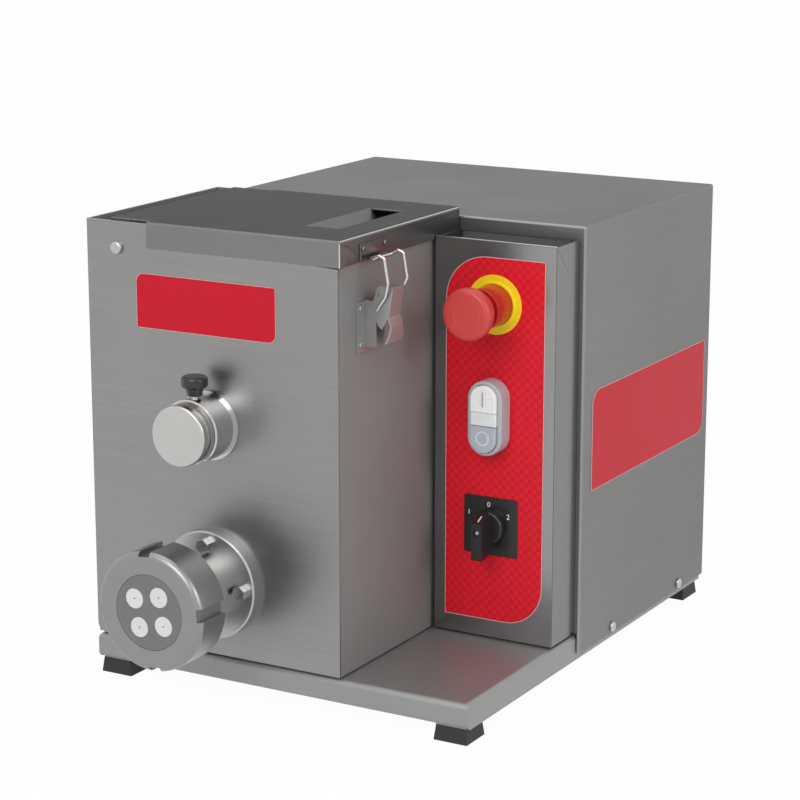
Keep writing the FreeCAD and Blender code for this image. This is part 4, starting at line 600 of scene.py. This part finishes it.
class Shop:
    """Hands finished pieces to the frame."""

    def __init__(self) -> None:
        """Read which body and slot each node has."""
        record = frame["record"]
        self.body_of = {n: b for b, nodes in record["behaviour"]["bodies"].items() for n in nodes}
        self.slot_of = {row["node"]: row["material_slot"] for row in record["subparts"]}

    def fit(self, piece: bpy.types.Object, finish: Finish, *nodes: str, stands_for: bool = True) -> None:
        """Give a piece its finish and body.

        Args:
            piece: The new piece.
            finish: Its main finish, kept in the first slot.
            nodes: The CAD nodes it belongs to.
            stands_for: Whether it is shown instead of them.
        """
        if not piece.data.materials:
            piece.data.materials.append(finish.build())
        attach(piece, self.body_of[nodes[0]])
        if stands_for:
            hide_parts(*nodes)
        log.info("%s rides on %s", piece.name, self.body_of[nodes[0]])

    def worked(self, node: str, finish: Finish, width: float, segments: int = 2, angle: float = 32.0) -> None:
        """Show a worked copy in place of a node."""
        self.fit(Bench.worked_copy(node, width * MM, segments, angle), finish, node)

    def repaint(self, finish: Finish, *nodes: str) -> None:
        """Put a finish on CAD nodes that are shown as they are."""
        for node in nodes:
            data = frame["nodes"][node].data
            data.materials.clear()
            data.materials.append(finish.build())


def arc(cx: float, cz: float, radius: float, start: float, end: float, steps: int) -> list[Point]:
    """Give points of an arc in degrees."""
    turns = [math.radians(start + (end - start) * i / steps) for i in range(steps + 1)]
    return [(cx + radius * math.cos(t), cz + radius * math.sin(t)) for t in turns]


def rounded_outline(left: float, low: float, width: float, height: float, rounds: Sequence[float],
                    steps: int = 12) -> list[Point]:
    """Give a rectangle's outline with a radius at BL, BR, TR and TL."""
    right = left + width
    top = low + height
    corners = [(left, low, 180, 1, 1), (right, low, 270, -1, 1),
               (right, top, 0, -1, -1), (left, top, 90, 1, -1)]
    points: list[Point] = []
    for (x, z, start, sx, sz), radius in zip(corners, rounds):
        if radius > 0:
            points += arc(x + sx * radius, z + sz * radius, radius, start, start + 90, steps)
        else:
            points.append((x, z))
    return points


@dataclass
class Tray:
    """The base tray with its rubber feet and screws."""

    def build(self, shop: Shop) -> None:
        """Dress the tray and its feet."""
        shop.worked("base_tray", Palette.tray_sheet, 0.35)
        shop.worked("rubber_feet", Palette.rubber, 1.2, 3)
        shop.repaint(Palette.plated_steel, "foot_screws")


@dataclass
class Lid:
    """The folded lid with its feed hole, bent flap, catch and pivots."""

    left: float = 20.0
    fold_left: float = 58.0
    right: float = 232.5
    front: float = -2.0
    back: float = 183.8
    tongue_front: float = 5.0
    tongue_back: float = 179.5
    top: float = 376.5
    flange: float = 20.5
    sheet: float = 1.5
    hole: tuple[float, float, float, float] = (173.5, 204.5, 45.0, 143.0)
    flap: float = 27.0
    flap_angle: float = 46.0
    bend: float = 2.2
    pivot: Point = (29.0, 353.7)
    ear: float = 9.0
    tab_back: float = 24.0
    tab_drop: float = 4.0
    tab_setback: float = 0.3
    tab_thick: float = 0.35
    seam: float = 0.6
    bead: float = 0.55

    def build(self, shop: Shop) -> None:
        """Fold the lid and dress its fittings."""
        piece = self._sheet()
        ears = [self._ear(self.tongue_front), self._ear(self.tongue_back - self.sheet)]
        piece = Bench.joined("folded_lid", [piece, *ears, self._corner_tab()])
        shop.fit(piece, Palette.lid_sheet_with_painted_shade, "lid")
        # A dark strip round the corner tab as painted shadow in the seam.
        shop.fit(self._seam_shadow_strip(), Palette.painted_seam_shadow, "lid", stands_for=False)
        # A bright strip down the lid's front right corner as a painted highlight.
        shop.fit(self._corner_highlight_bead(), Palette.bright_steel_and_painted_glints, "lid", stands_for=False)
        # A bright strip along the right fold as a painted highlight.
        shop.fit(self._painted_highlight_on_fold(), Palette.bright_steel_and_painted_glints, "lid", stands_for=False)
        # The catch takes the lid sheet's darker colour, which is partly painted shade.
        shop.worked("lid_catch", Palette.lid_sheet_with_painted_shade, 0.35)
        shop.worked("lid_pivot_bolts", Palette.plated_steel, 0.25)

    def _sheet(self) -> bpy.types.Object:
        """Make the folded sheet from a grid whose lines follow its edges."""
        x0, x1, y0, y1 = self.hole
        xs = [self.left, self.fold_left, x0, x1, self.right]
        ys = [self.front, self.tongue_front, y0, y1, self.tongue_back, self.back]
        Bench.clear()
        bpy.ops.mesh.primitive_grid_add(x_subdivisions=len(xs) - 1, y_subdivisions=len(ys) - 1, size=1.0)
        piece = bpy.context.object
        for vertex in piece.data.vertices:
            i = round((vertex.co.x + 0.5) * (len(xs) - 1))
            j = round((vertex.co.y + 0.5) * (len(ys) - 1))
            vertex.co = at(xs[i], ys[j], self.top)
        self._drop_faces(piece, self._outside)
        self._pull(piece, lambda a, b: self._on(a, 1, self.front) and self._on(b, 1, self.front),
                   Vector((0.0, 0.0, -self.flange * MM)))
        self._pull(piece, lambda a, b: self._on(a, 0, self.right) and self._on(b, 0, self.right),
                   Vector((0.0, 0.0, -self.flange * MM)))
        turn = math.radians(self.flap_angle)
        reach = self.flap * MM
        self._pull(piece, lambda a, b: self._on(a, 0, x0) and self._on(b, 0, x0)
                   and min(a.y, b.y) > at(0, y0 - 1, 0).y and max(a.y, b.y) < at(0, y1 + 1, 0).y,
                   Vector((math.cos(turn) * reach, 0.0, -math.sin(turn) * reach)))
        self._fold(piece)
        Bench.take(piece)
        thick = piece.modifiers.new("thickness", "SOLIDIFY")
        thick.thickness = self.sheet * MM
        thick.offset = -1.0
        bpy.ops.object.modifier_apply(modifier=thick.name)
        Bench.round_edges(piece, 0.25 * MM, 2, 40.0)
        return piece

    @staticmethod
    def _on(point: Vector, axis: int, machine: float) -> bool:
        """Tell whether a point has a machine coordinate."""
        return abs(point[axis] - at(machine, machine, machine)[axis]) < 1e-5

    def _outside(self, middle: Vector) -> bool:
        """Tell whether a grid face is cut away."""
        x0, x1, y0, y1 = self.hole
        in_hole = at(x0, 0, 0).x < middle.x < at(x1, 0, 0).x and at(0, y0, 0).y < middle.y < at(0, y1, 0).y
        beside = middle.x < at(self.fold_left, 0, 0).x and (
            middle.y < at(0, self.tongue_front, 0).y or middle.y > at(0, self.tongue_back, 0).y)
        return in_hole or beside

    @staticmethod
    def _drop_faces(piece: bpy.types.Object, unwanted: Callable[[Vector], bool]) -> None:
        """Delete the faces whose middles pass the test."""
        Bench.take(piece)
        bpy.ops.object.mode_set(mode="EDIT")
        bpy.ops.mesh.select_mode(type="FACE")
        bpy.ops.mesh.select_all(action="DESELECT")
        bpy.ops.object.mode_set(mode="OBJECT")
        for face in piece.data.polygons:
            face.select = unwanted(face.center)
        bpy.ops.object.mode_set(mode="EDIT")
        bpy.ops.mesh.delete(type="FACE")
        bpy.ops.mesh.select_mode(type="EDGE")
        bpy.ops.object.mode_set(mode="OBJECT")

    @staticmethod
    def _pick_edges(piece: bpy.types.Object, wanted: Callable[[Vector, Vector], bool]) -> None:
        """Select the edges whose ends pass the test and stay in edit mode."""
        Bench.take(piece)
        bpy.ops.object.mode_set(mode="EDIT")
        bpy.ops.mesh.select_mode(type="EDGE")
        bpy.ops.mesh.select_all(action="DESELECT")
        bpy.ops.object.mode_set(mode="OBJECT")
        points = piece.data.vertices
        for edge in piece.data.edges:
            a, b = edge.vertices
            edge.select = wanted(points[a].co, points[b].co)
        bpy.ops.object.mode_set(mode="EDIT")

    @classmethod
    def _pull(cls, piece: bpy.types.Object, wanted: Callable[[Vector, Vector], bool], push: Vector) -> None:
        """Extrude the chosen edges."""
        cls._pick_edges(piece, wanted)
        bpy.ops.mesh.extrude_region_move(TRANSFORM_OT_translate={"value": push})
        bpy.ops.object.mode_set(mode="OBJECT")

    def _fold(self, piece: bpy.types.Object) -> None:
        """Round the folds at the front and the right."""
        def on_fold(a: Vector, b: Vector) -> bool:
            high = self._on(a, 2, self.top) and self._on(b, 2, self.top)
            front = self._on(a, 1, self.front) and self._on(b, 1, self.front)
            right = self._on(a, 0, self.right) and self._on(b, 0, self.right)
            return high and (front or right)
        self._pick_edges(piece, on_fold)
        bpy.ops.mesh.bevel(offset=self.bend * MM, segments=4)
        bpy.ops.mesh.select_all(action="SELECT")
        bpy.ops.mesh.normals_make_consistent(inside=False)
        bpy.ops.object.mode_set(mode="OBJECT")
        if max(piece.data.polygons, key=lambda f: f.area).normal.z < 0:
            bpy.ops.object.mode_set(mode="EDIT")
            bpy.ops.mesh.flip_normals()
            bpy.ops.object.mode_set(mode="OBJECT")

    def _corner_tab(self) -> bpy.types.Object:
        """Make the front flange's tab that laps round the corner onto the side flange."""
        low = self.top - self.flange
        near = self.front + self.tab_setback
        points = [(near, low), (near, self.top - self.tab_drop)]
        points += [point for point, _ in self._tab_curve(range(20, 91, 7))]
        points.append((self.front + self.tab_back, low))
        return Bench.extruded("corner_tab", [at(self.right, y, z) for y, z in points],
                              Vector((self.tab_thick * MM, 0.0, 0.0)), 0.1 * MM)

    def _tab_curve(self, degrees: Iterable[int]) -> list[tuple[Point, float]]:
        """Give points of the tab's quarter ellipse as Y and Z, each with its turn in radians."""
        fall = self.flange - self.tab_drop
        high = self.top - self.tab_drop
        return [((self.front + self.tab_back * math.sin(t), high - fall * (1 - math.cos(t))), t)
                for t in (math.radians(a) for a in degrees)]

    def _seam_shadow_strip(self) -> bpy.types.Object:
        """Make a dark strip round the tab's curved edge as painted shadow in the seam."""
        curve = self._tab_curve(range(16, 91, 6))
        line = [point for point, _ in curve]
        outer = [(y + self.seam * math.sin(t), z + self.seam * math.cos(t)) for (y, z), t in curve]
        return Bench.extruded("corner_seam_shadow", [at(self.right, y, z) for y, z in line + outer[::-1]],
                              Vector((self.tab_thick / 2 * MM, 0.0, 0.0)))

    def _painted_highlight_on_fold(self) -> bpy.types.Object:
        """Make a strip of bright steel along the right fold as a painted highlight."""
        inset = self.bend * (1 - math.sqrt(0.5)) + self.bead * 0.6
        ring = [at(px, self.front + 1, pz) for px, pz in arc(self.right - inset, self.top - inset, self.bead,
                                                             0, 330, 11)]
        return Bench.extruded("painted_highlight_on_fold", ring, Vector((0.0, (self.back - self.front - 2) * MM, 0.0)))

    def _corner_highlight_bead(self) -> bpy.types.Object:
        """Make the rolled edge down the lid's front right corner, in bright steel as a painted highlight."""
        x, y = self.right - self.bead * 0.4, self.front + self.bead * 0.4
        ring = [at(px, py, self.top - self.bend) for px, py in arc(x, y, self.bead, 0, 330, 11)]
        drop = Vector((0.0, 0.0, -(self.flange - self.bend) * MM))
        return Bench.extruded("corner_highlight_bead", ring, drop, 0.1 * MM)

    def _ear(self, y: float) -> bpy.types.Object:
        """Make one pivot ear below the tongue."""
        x, z = self.pivot
        points = [(x + self.ear, self.top - self.sheet), (x - self.ear, self.top - self.sheet)]
        points += arc(x, z, self.ear, 180, 360, 18)
        return Bench.extruded("ear", [at(px, y, pz) for px, pz in points],
                              Vector((0.0, self.sheet * MM, 0.0)), 0.2 * MM)


@dataclass
class Tank:
    """The tank's front plate, walls, trough and throat."""

    def build(self, shop: Shop) -> None:
        """Dress the tank."""
        shop.worked("tank_front_plate", Palette.front_sheet, 0.5, 3)
        shop.worked("tank_walls", Palette.wall_sheet, 0.3)
        shop.worked("mixing_trough", Palette.inner_sheet, 0.2)
        shop.repaint(Palette.inner_sheet, "feed_throat")


@dataclass
class Latch:
    """The toggle latch on the tank's right wall."""

    def build(self, shop: Shop) -> None:
        """Dress the latch's pieces."""
        shop.worked("latch_base", Palette.latch_steel, 0.3)
        shop.worked("latch_lever", Palette.latch_steel, 0.35, 3, 20.0)
        shop.worked("latch_bail", Palette.bright_steel_and_painted_glints, 0.0)
        shop.worked("latch_pin", Palette.plated_steel, 0.3)


@dataclass
class MixerBearing:
    """The collar, plug, bush, shaft and thumbscrew."""


    def build(self, shop: Shop) -> None:
        """Turn and dress the bearing's pieces."""
        shop.worked("mixer_collar", Palette.collar_steel, 0.3)
        shop.worked("bearing_plug", Palette.cap_steel, 0.3)
        shop.repaint(Palette.bronze, "plug_bush")
        shop.worked("thumbscrew_knob", Palette.knob_black, 0.4, 3)
        shop.worked("thumbscrew_stud", Palette.plated_steel, 0.3)
        shop.worked("mixer_shaft", Palette.barrel_steel, 0.4)


@dataclass
class Extruder:
    """The barrel, ring nut, die, inserts, bolts and auger."""

    def build(self, shop: Shop) -> None:
        """Dress the extruder's pieces."""
        shop.worked("extruder_barrel", Palette.barrel_steel, 0.4)
        shop.worked("barrel_bolts", Palette.plated_steel, 0.4)
        shop.worked("ring_nut", Palette.nut_alloy, 1.6, 4)
        shop.worked("die_plate", Palette.die_alloy, 0.3)
        shop.worked("die_inserts", Palette.insert_white, 0.4, 3)
        shop.repaint(Palette.barrel_steel, "auger")


@dataclass
class Housing:
    """The rear cover with the drive inside it."""

    def build(self, shop: Shop) -> None:
        """Dress the cover and the hidden drive."""
        shop.worked("housing_cover", Palette.cover_sheet, 0.25)
        shop.worked("cover_screws", Palette.plated_steel, 0.2)
        shop.worked("cable_gland", Palette.rubber, 0.4)
        shop.repaint(Palette.frame_paint, "bulkhead", "rear_bearing_plate", "frame_spacers")
        shop.repaint(Palette.gear_steel, "mixer_gear", "auger_gear", "drive_pinion", "shaft_bearings")
        shop.repaint(Palette.barrel_steel, "layshaft", "motor_shaft")
        shop.repaint(Palette.die_alloy, "layshaft_pulley", "motor_pulley")
        shop.repaint(Palette.belt_rubber, "drive_belt")
        shop.repaint(Palette.motor_paint, "motor")


@dataclass
class FilmPlate:
    """A printed film with a pale edge, cut to a rounded outline."""

    name: str
    outline: list[Point]
    finish: Finish
    edge: float = 1.2

    def make(self, place: Callable[[Point], Vector], push: Vector) -> bpy.types.Object:
        """Extrude the film and inset its face for the printed field.

        Args:
            place: Turns an outline point into a point on the film's outer face.
            push: From the outer face to the back.

        Returns:
            The film.
        """
        piece = Bench.extruded(self.name, [place(p) for p in self.outline], push)
        piece.data.materials.append(Palette.film_edge.build())
        piece.data.materials.append(self.finish.build())
        Bench.take(piece)
        bpy.ops.object.mode_set(mode="EDIT")
        bpy.ops.mesh.select_mode(type="FACE")
        bpy.ops.mesh.select_all(action="DESELECT")
        bpy.ops.object.mode_set(mode="OBJECT")
        out = -push.normalized()
        for face in piece.data.polygons:
            face.select = face.normal.dot(out) > 0.99
        bpy.ops.object.mode_set(mode="EDIT")
        bpy.ops.mesh.inset(thickness=self.edge * MM, depth=0.0)
        piece.active_material_index = 1
        bpy.ops.object.material_slot_assign()
        bpy.ops.object.mode_set(mode="OBJECT")
        return piece


@dataclass
class ControlBox:
    """The control box with its decal, stop head, twin button and switch."""

    face: float = 143.1
    decal: tuple[float, float, float, float] = (243.0, 49.4, 87.5, 297.0)
    decal_rounds: tuple[float, float, float, float] = (0.0, 33.0, 0.0, 36.0)
    decal_thick: float = 0.4
    decal_edge: float = 0.5
    front: float = 144.2
    top: float = 358.0
    flange_low: float = 36.0
    flange: float = 20.0
    mitre: float = 22.0
    flange_thick: float = 0.35
    seam: float = 0.7
    rim: float = 1.5
    rim_setback: float = 0.3
    rim_rise: float = 0.8

    def build(self, shop: Shop) -> None:
        """Dress the box and its controls."""
        shop.worked("control_box", Palette.panel_steel, 0.45, 3)
        film = FilmPlate("checked_decal", rounded_outline(*self.decal, self.decal_rounds, 16),
                         Palette.decal_red, self.decal_edge)
        shop.fit(film.make(lambda p: at(p[0], self.face, p[1]), Vector((0.0, self.decal_thick * MM, 0.0))),
                 Palette.decal_red, "panel_decal")
        shop.repaint(Palette.plate_black, "switch_bodies")
        self._side_flange(shop)
        # A bright strip along the box's top edge as a painted highlight.
        self._rim_highlight_strip(shop)

    def _on_side(self, points: Sequence[Point]) -> list[Vector]:
        """Put outline points given as Y and Z on the box's right side."""
        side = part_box("control_box")[1].x
        return [Vector((side, at(0.0, y, 0.0).y, z * MM)) for y, z in points]

    def _side_flange(self, shop: Shop) -> None:
        """Lap the front sheet's flange over the side, with its mitred top and a dark strip along the mitre as
        painted shadow.
        """
        back = self.front + self.flange
        low_mitre = self.top - self.mitre
        edge = [(self.front, self.flange_low), (back, self.flange_low),
                (back, low_mitre), (self.front, self.top)]
        flange = Bench.extruded("box_side_flange", self._on_side(edge),
                                Vector((self.flange_thick * MM, 0.0, 0.0)), 0.1 * MM)
        shop.fit(flange, Palette.panel_steel, "control_box", stands_for=False)
        # A dark strip along the mitre as painted shadow in the seam.
        seam = [(self.front, self.top), (back, low_mitre), (back + self.seam, low_mitre),
                (self.front + self.seam, self.top)]
        mitre_shadow = Bench.extruded("box_mitre_seam_shadow", self._on_side(seam),
                             Vector((self.flange_thick / 2 * MM, 0.0, 0.0)))
        shop.fit(mitre_shadow, Palette.painted_seam_shadow, "control_box", stands_for=False)

    def _rim_highlight_strip(self, shop: Shop) -> None:
        """Add a thin raised strip of bright steel along the front's top edge as a painted highlight."""
        low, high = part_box("control_box")
        near = low.y + self.rim_setback * MM
        far = low.y + self.rim * MM
        corners = ((low.x, near), (high.x, near), (high.x, far), (low.x, far))
        outline = [Vector((x, y, high.z)) for x, y in corners]
        glint = Bench.extruded("box_rim_glint", outline, Vector((0.0, 0.0, self.rim_rise * MM)), 0.3 * MM)
        shop.fit(glint, Palette.bright_steel_and_painted_glints, "control_box", stands_for=False)


@dataclass
class StopHead:
    """The yellow ring with the red collar, stem and mushroom head."""

    centre: Point = (286.4, 309.0)
    face: float = 143.1
    reach: float = 50.0
    head_thick: float = 12.0
    head_radius: float = 20.6
    dish_radius: float = 10.0
    dish_depth: float = 0.25
    dish_slope: float = 0.6
    crown: float = 4.0
    rim_round: float = 2.5
    skirt_radius: float = 15.8
    skirt_length: float = 7.5
    stem_radius: float = 9.05
    socket_depth: float = 5.0

    def build(self, shop: Shop) -> None:
        """Turn the head and dress the rest."""
        front = self.face - self.reach
        back = front + self.head_thick
        r = self.head_radius
        crown = arc(r - self.crown, front + self.crown, self.crown, 270, 360, 8)
        dish = front + self.dish_depth
        profile = [(0.0, dish), (self.dish_radius - self.dish_slope, dish),
                   (self.dish_radius, front + self.dish_depth * 0.4),
                   (self.dish_radius + self.dish_slope, front)]
        profile += crown
        profile += [(r, back - self.rim_round), (r - 0.4 * self.rim_round, back - 0.24 * self.rim_round),
                    (r - self.rim_round, back), (self.skirt_radius, back),
                    (self.skirt_radius, back + self.skirt_length),
                    (self.stem_radius, back + self.skirt_length),
                    (self.stem_radius, back - self.socket_depth), (0.0, back - self.socket_depth)]
        head = Bench.turned("mushroom_head", profile, self.centre, 96, 0.2 * MM)
        shop.fit(head, Palette.stop_red, "estop_head")
        shop.worked("estop_ring", Palette.ring_yellow, 0.3)
        shop.worked("estop_collar", Palette.collar_red, 0.5, 3)
        shop.worked("estop_stem", Palette.collar_red, 0.0)


@dataclass
class TwinButton:
    """The oval twin button with its marks and lens."""

    x: float = 285.6
    face_y: float = 125.1
    mark: float = 0.15
    bar: tuple[float, float, float, float] = (284.95, 230.0, 1.3, 12.0)
    bar_round: float = 0.4
    ring_height: float = 204.6
    ring_radii: Point = (4.8, 5.9)

    def build(self, shop: Shop) -> None:
        """Dress the buttons and add the I and O marks."""
        shop.worked("button_bezel", Palette.bezel_grey, 0.5, 3)
        shop.worked("start_button", Palette.button_white, 0.4, 3)
        shop.worked("stop_button", Palette.button_grey, 0.4, 3)
        shop.worked("pilot_lens", Palette.lens_grey, 0.8, 3)
        bar = rounded_outline(*self.bar, (self.bar_round,) * 4, 4)
        start = Bench.extruded("mark_on", [at(x, self.face_y, z) for x, z in bar],
                               Vector((0.0, -self.mark * MM, 0.0)))
        shop.fit(start, Palette.mark_grey, "start_button", stands_for=False)
        inner, outer = self.ring_radii
        proud = self.face_y - self.mark
        ring = [(inner, self.face_y), (outer, self.face_y), (outer, proud), (inner, proud)]
        stop = Bench.turned("mark_off", ring, (self.x, self.ring_height), 48)
        shop.fit(stop, Palette.mark_pale, "stop_button", stands_for=False)


@dataclass
class Selector:
    """The three-way switch with its numbers and pointer."""

    centre: Point = (284.7, 128.6)
    plate_face: float = 142.1
    bar_front: float = 118.1
    nose: float = 7.5
    slope: float = 5.8 / 12.0
    pointer_half: float = 0.55
    pointer_thick: float = 0.15
    pointer_reach: Point = (2.6, 9.0)
    number_size: float = 6.0
    number_thick: float = 0.15
    numbers: tuple[tuple[str, float, float], ...] = (("1", 265.4, 138.0), ("0", 283.1, 146.2),
                                                     ("2", 300.5, 138.0))

    def build(self, shop: Shop) -> None:
        """Dress the switch and add its numbers."""
        shop.worked("selector_plate", Palette.plate_black, 0.7, 3)
        shop.worked("selector_knob", Palette.knob_black, 0.6, 3)
        shop.worked("selector_cap", Palette.button_grey, 0.2)
        shop.repaint(Palette.plated_steel, "selector_spindle")
        x, z = self.centre
        near, far = self.pointer_reach
        line = [at(x + side * self.pointer_half, self.bar_front + depth, z + self.nose + depth * self.slope)
                for side, depth in ((-1, near), (1, near), (1, far), (-1, far))]
        lift = Vector((0.0, -self.slope, 1.0)).normalized() * self.pointer_thick * MM
        shop.fit(Bench.extruded("selector_pointer", line, lift), Palette.mark_white, "selector_knob",
                 stands_for=False)
        for body, x, z in self.numbers:
            number = Bench.words("number_" + body, body, self.number_size * MM, at(x, self.plate_face, z),
                                 self.number_thick * MM)
            shop.fit(number, Palette.mark_white, "selector_plate", stands_for=False)


@dataclass
class NamePlates:
    """The two plain name plates."""

    front_plate: tuple[float, float, float, float] = (46.6, 292.4, 128.2, 43.2)
    side_plate: tuple[float, float, float, float] = (201.8, 151.5, 225.0, 82.5)
    side_x: float = 344.3
    thick: float = 0.5
    front_edge: float = 0.3
    side_edge: float = 0.4

    def build(self, shop: Shop) -> None:
        """Cut the two films."""
        front = FilmPlate("front_name_plate", rounded_outline(*self.front_plate, (1.0, 7.0, 1.0, 7.0)),
                          Palette.label_red, self.front_edge)
        shop.fit(front.make(lambda p: at(p[0], -self.thick, p[1]), Vector((0.0, self.thick * MM, 0.0))),
                 Palette.label_red, "front_label")
        side = FilmPlate("side_name_plate", rounded_outline(*self.side_plate, (1.0, 13.0, 1.0, 13.0)),
                         Palette.label_red, self.side_edge)
        shop.fit(side.make(lambda p: at(self.side_x + self.thick, p[0], p[1]),
                           Vector((-self.thick * MM, 0.0, 0.0))),
                 Palette.label_red, "side_label")


@dataclass(frozen=True)
class Lamp:
    """One soft square lamp: its name, place, side and power in metres and watts."""

    name: str
    place: tuple[float, float, float]
    side: float
    power: float

    def hang(self, aim: Vector) -> None:
        """Hang the lamp so that it faces the aim."""
        data = bpy.data.lights.new(self.name, "AREA")
        data.size = self.side
        data.energy = self.power
        lamp = bpy.data.objects.new(self.name, data)
        bpy.context.scene.collection.objects.link(lamp)
        lamp.location = self.place
        lamp.rotation_euler = (aim - lamp.location).to_track_quat("-Z", "Y").to_euler()


@dataclass
class Studio:
    """The pale floor, the soft light and the camera of the photograph."""

    camera_place: tuple[float, float, float] = (1.00862, -1.75345, 0.69952)
    camera_turn: tuple[float, float, float] = (76.40, 0.0, 29.80)
    lens: float = 113.32
    sensor: float = 36.0
    world_level: float = 0.55
    lamps: tuple[Lamp, ...] = (Lamp("key", (0.2, -2.6, 1.9), 1.8, 34.0),
                               Lamp("fill", (2.6, -0.4, 1.3), 1.0, 16.0),
                               Lamp("top", (-0.4, 0.0, 2.8), 1.6, 8.0))
    aim: tuple[float, float, float] = (0.0, 0.0, 0.2)
    floor_glow: float = 0.97

    def build(self) -> None:
        """Set up the floor, the world, the lamps and the camera."""
        self._floor()
        self._world()
        for lamp in self.lamps:
            lamp.hang(Vector(self.aim))
        self._camera()
        bpy.context.scene.view_settings.view_transform = "Standard"

    @staticmethod
    def _seen(graph: Graph) -> Link:
        """Give 1 for rays that should see the plain white background."""
        node = graph.add("ShaderNodeLightPath", output="Is Camera Ray")
        outputs = node.socket.node.outputs
        both = graph.add("ShaderNodeMath", {"operation": "MAXIMUM"},
                         {0: Link(graph.tree, outputs["Is Glossy Ray"]),
                          1: Link(graph.tree, outputs["Is Transmission Ray"])})
        return graph.add("ShaderNodeMath", {"operation": "MAXIMUM"}, {0: node, 1: both})

    def _floor(self) -> None:
        """Lay the pale floor."""
        Bench.clear()
        bpy.ops.mesh.primitive_plane_add(size=24.0, location=(0.0, 0.0, 0.0))
        floor = bpy.context.object
        floor.name = "studio_floor"
        material = bpy.data.materials.new("studio floor")
        material.use_nodes = True
        graph = Graph(material.node_tree)
        shader = material.node_tree.nodes["Principled BSDF"]
        soft = graph.noise(graph.place(), 2.0, 2.0, 0.5)
        Finish.join(shader, Base_Color=graph.blend(soft, (0.86, 0.86, 0.86, 1.0), (0.88, 0.88, 0.88, 1.0)),
                    Roughness=0.9)
        glow = graph.add("ShaderNodeEmission", None, {"Color": (1.0, 1.0, 1.0, 1.0), "Strength": 1.0})
        mixed = graph.add("ShaderNodeMixShader", None,
                          {0: self._seen(graph) * self.floor_glow,
                           1: Link(graph.tree, shader.outputs[0]), 2: glow})
        graph.tree.links.new(mixed.socket, graph.tree.nodes["Material Output"].inputs["Surface"])
        floor.data.materials.append(material)

    def _world(self) -> None:
        """Make the world white behind the object and a level grey as light."""
        world = bpy.data.worlds.new("studio")
        bpy.context.scene.world = world
        world.use_nodes = True
        graph = Graph(world.node_tree)
        background = world.node_tree.nodes["Background"]
        level = graph.spread(self._seen(graph), self.world_level, 1.0)
        world.node_tree.links.new(level.socket, background.inputs["Strength"])
        background.inputs["Color"].default_value = (1.0, 1.0, 1.0, 1.0)

    def _camera(self) -> None:
        """Place the camera where the photograph was taken from."""
        data = bpy.data.cameras.new("camera")
        data.lens = self.lens
        data.sensor_width = self.sensor
        data.clip_start = 0.05
        data.clip_end = 60.0
        camera = bpy.data.objects.new("camera", data)
        bpy.context.scene.collection.objects.link(camera)
        camera.location = self.camera_place
        camera.rotation_euler = Euler([math.radians(a) for a in self.camera_turn])
        bpy.context.scene.camera = camera


def main() -> None:
    """Build every sub-assembly in order and set the stage round it."""
    logging.basicConfig(level=logging.INFO, format="%(message)s")
    shop = Shop()
    sections: Iterable[Any] = (Tray(), Tank(), Lid(), Latch(), MixerBearing(), Extruder(), Housing(),
                               ControlBox(), StopHead(), TwinButton(), Selector(), NamePlates())
    for section in sections:
        log.info("building %s", type(section).__name__)
        section.build(shop)
    Studio().build()


if __name__ == "__main__":
    main()
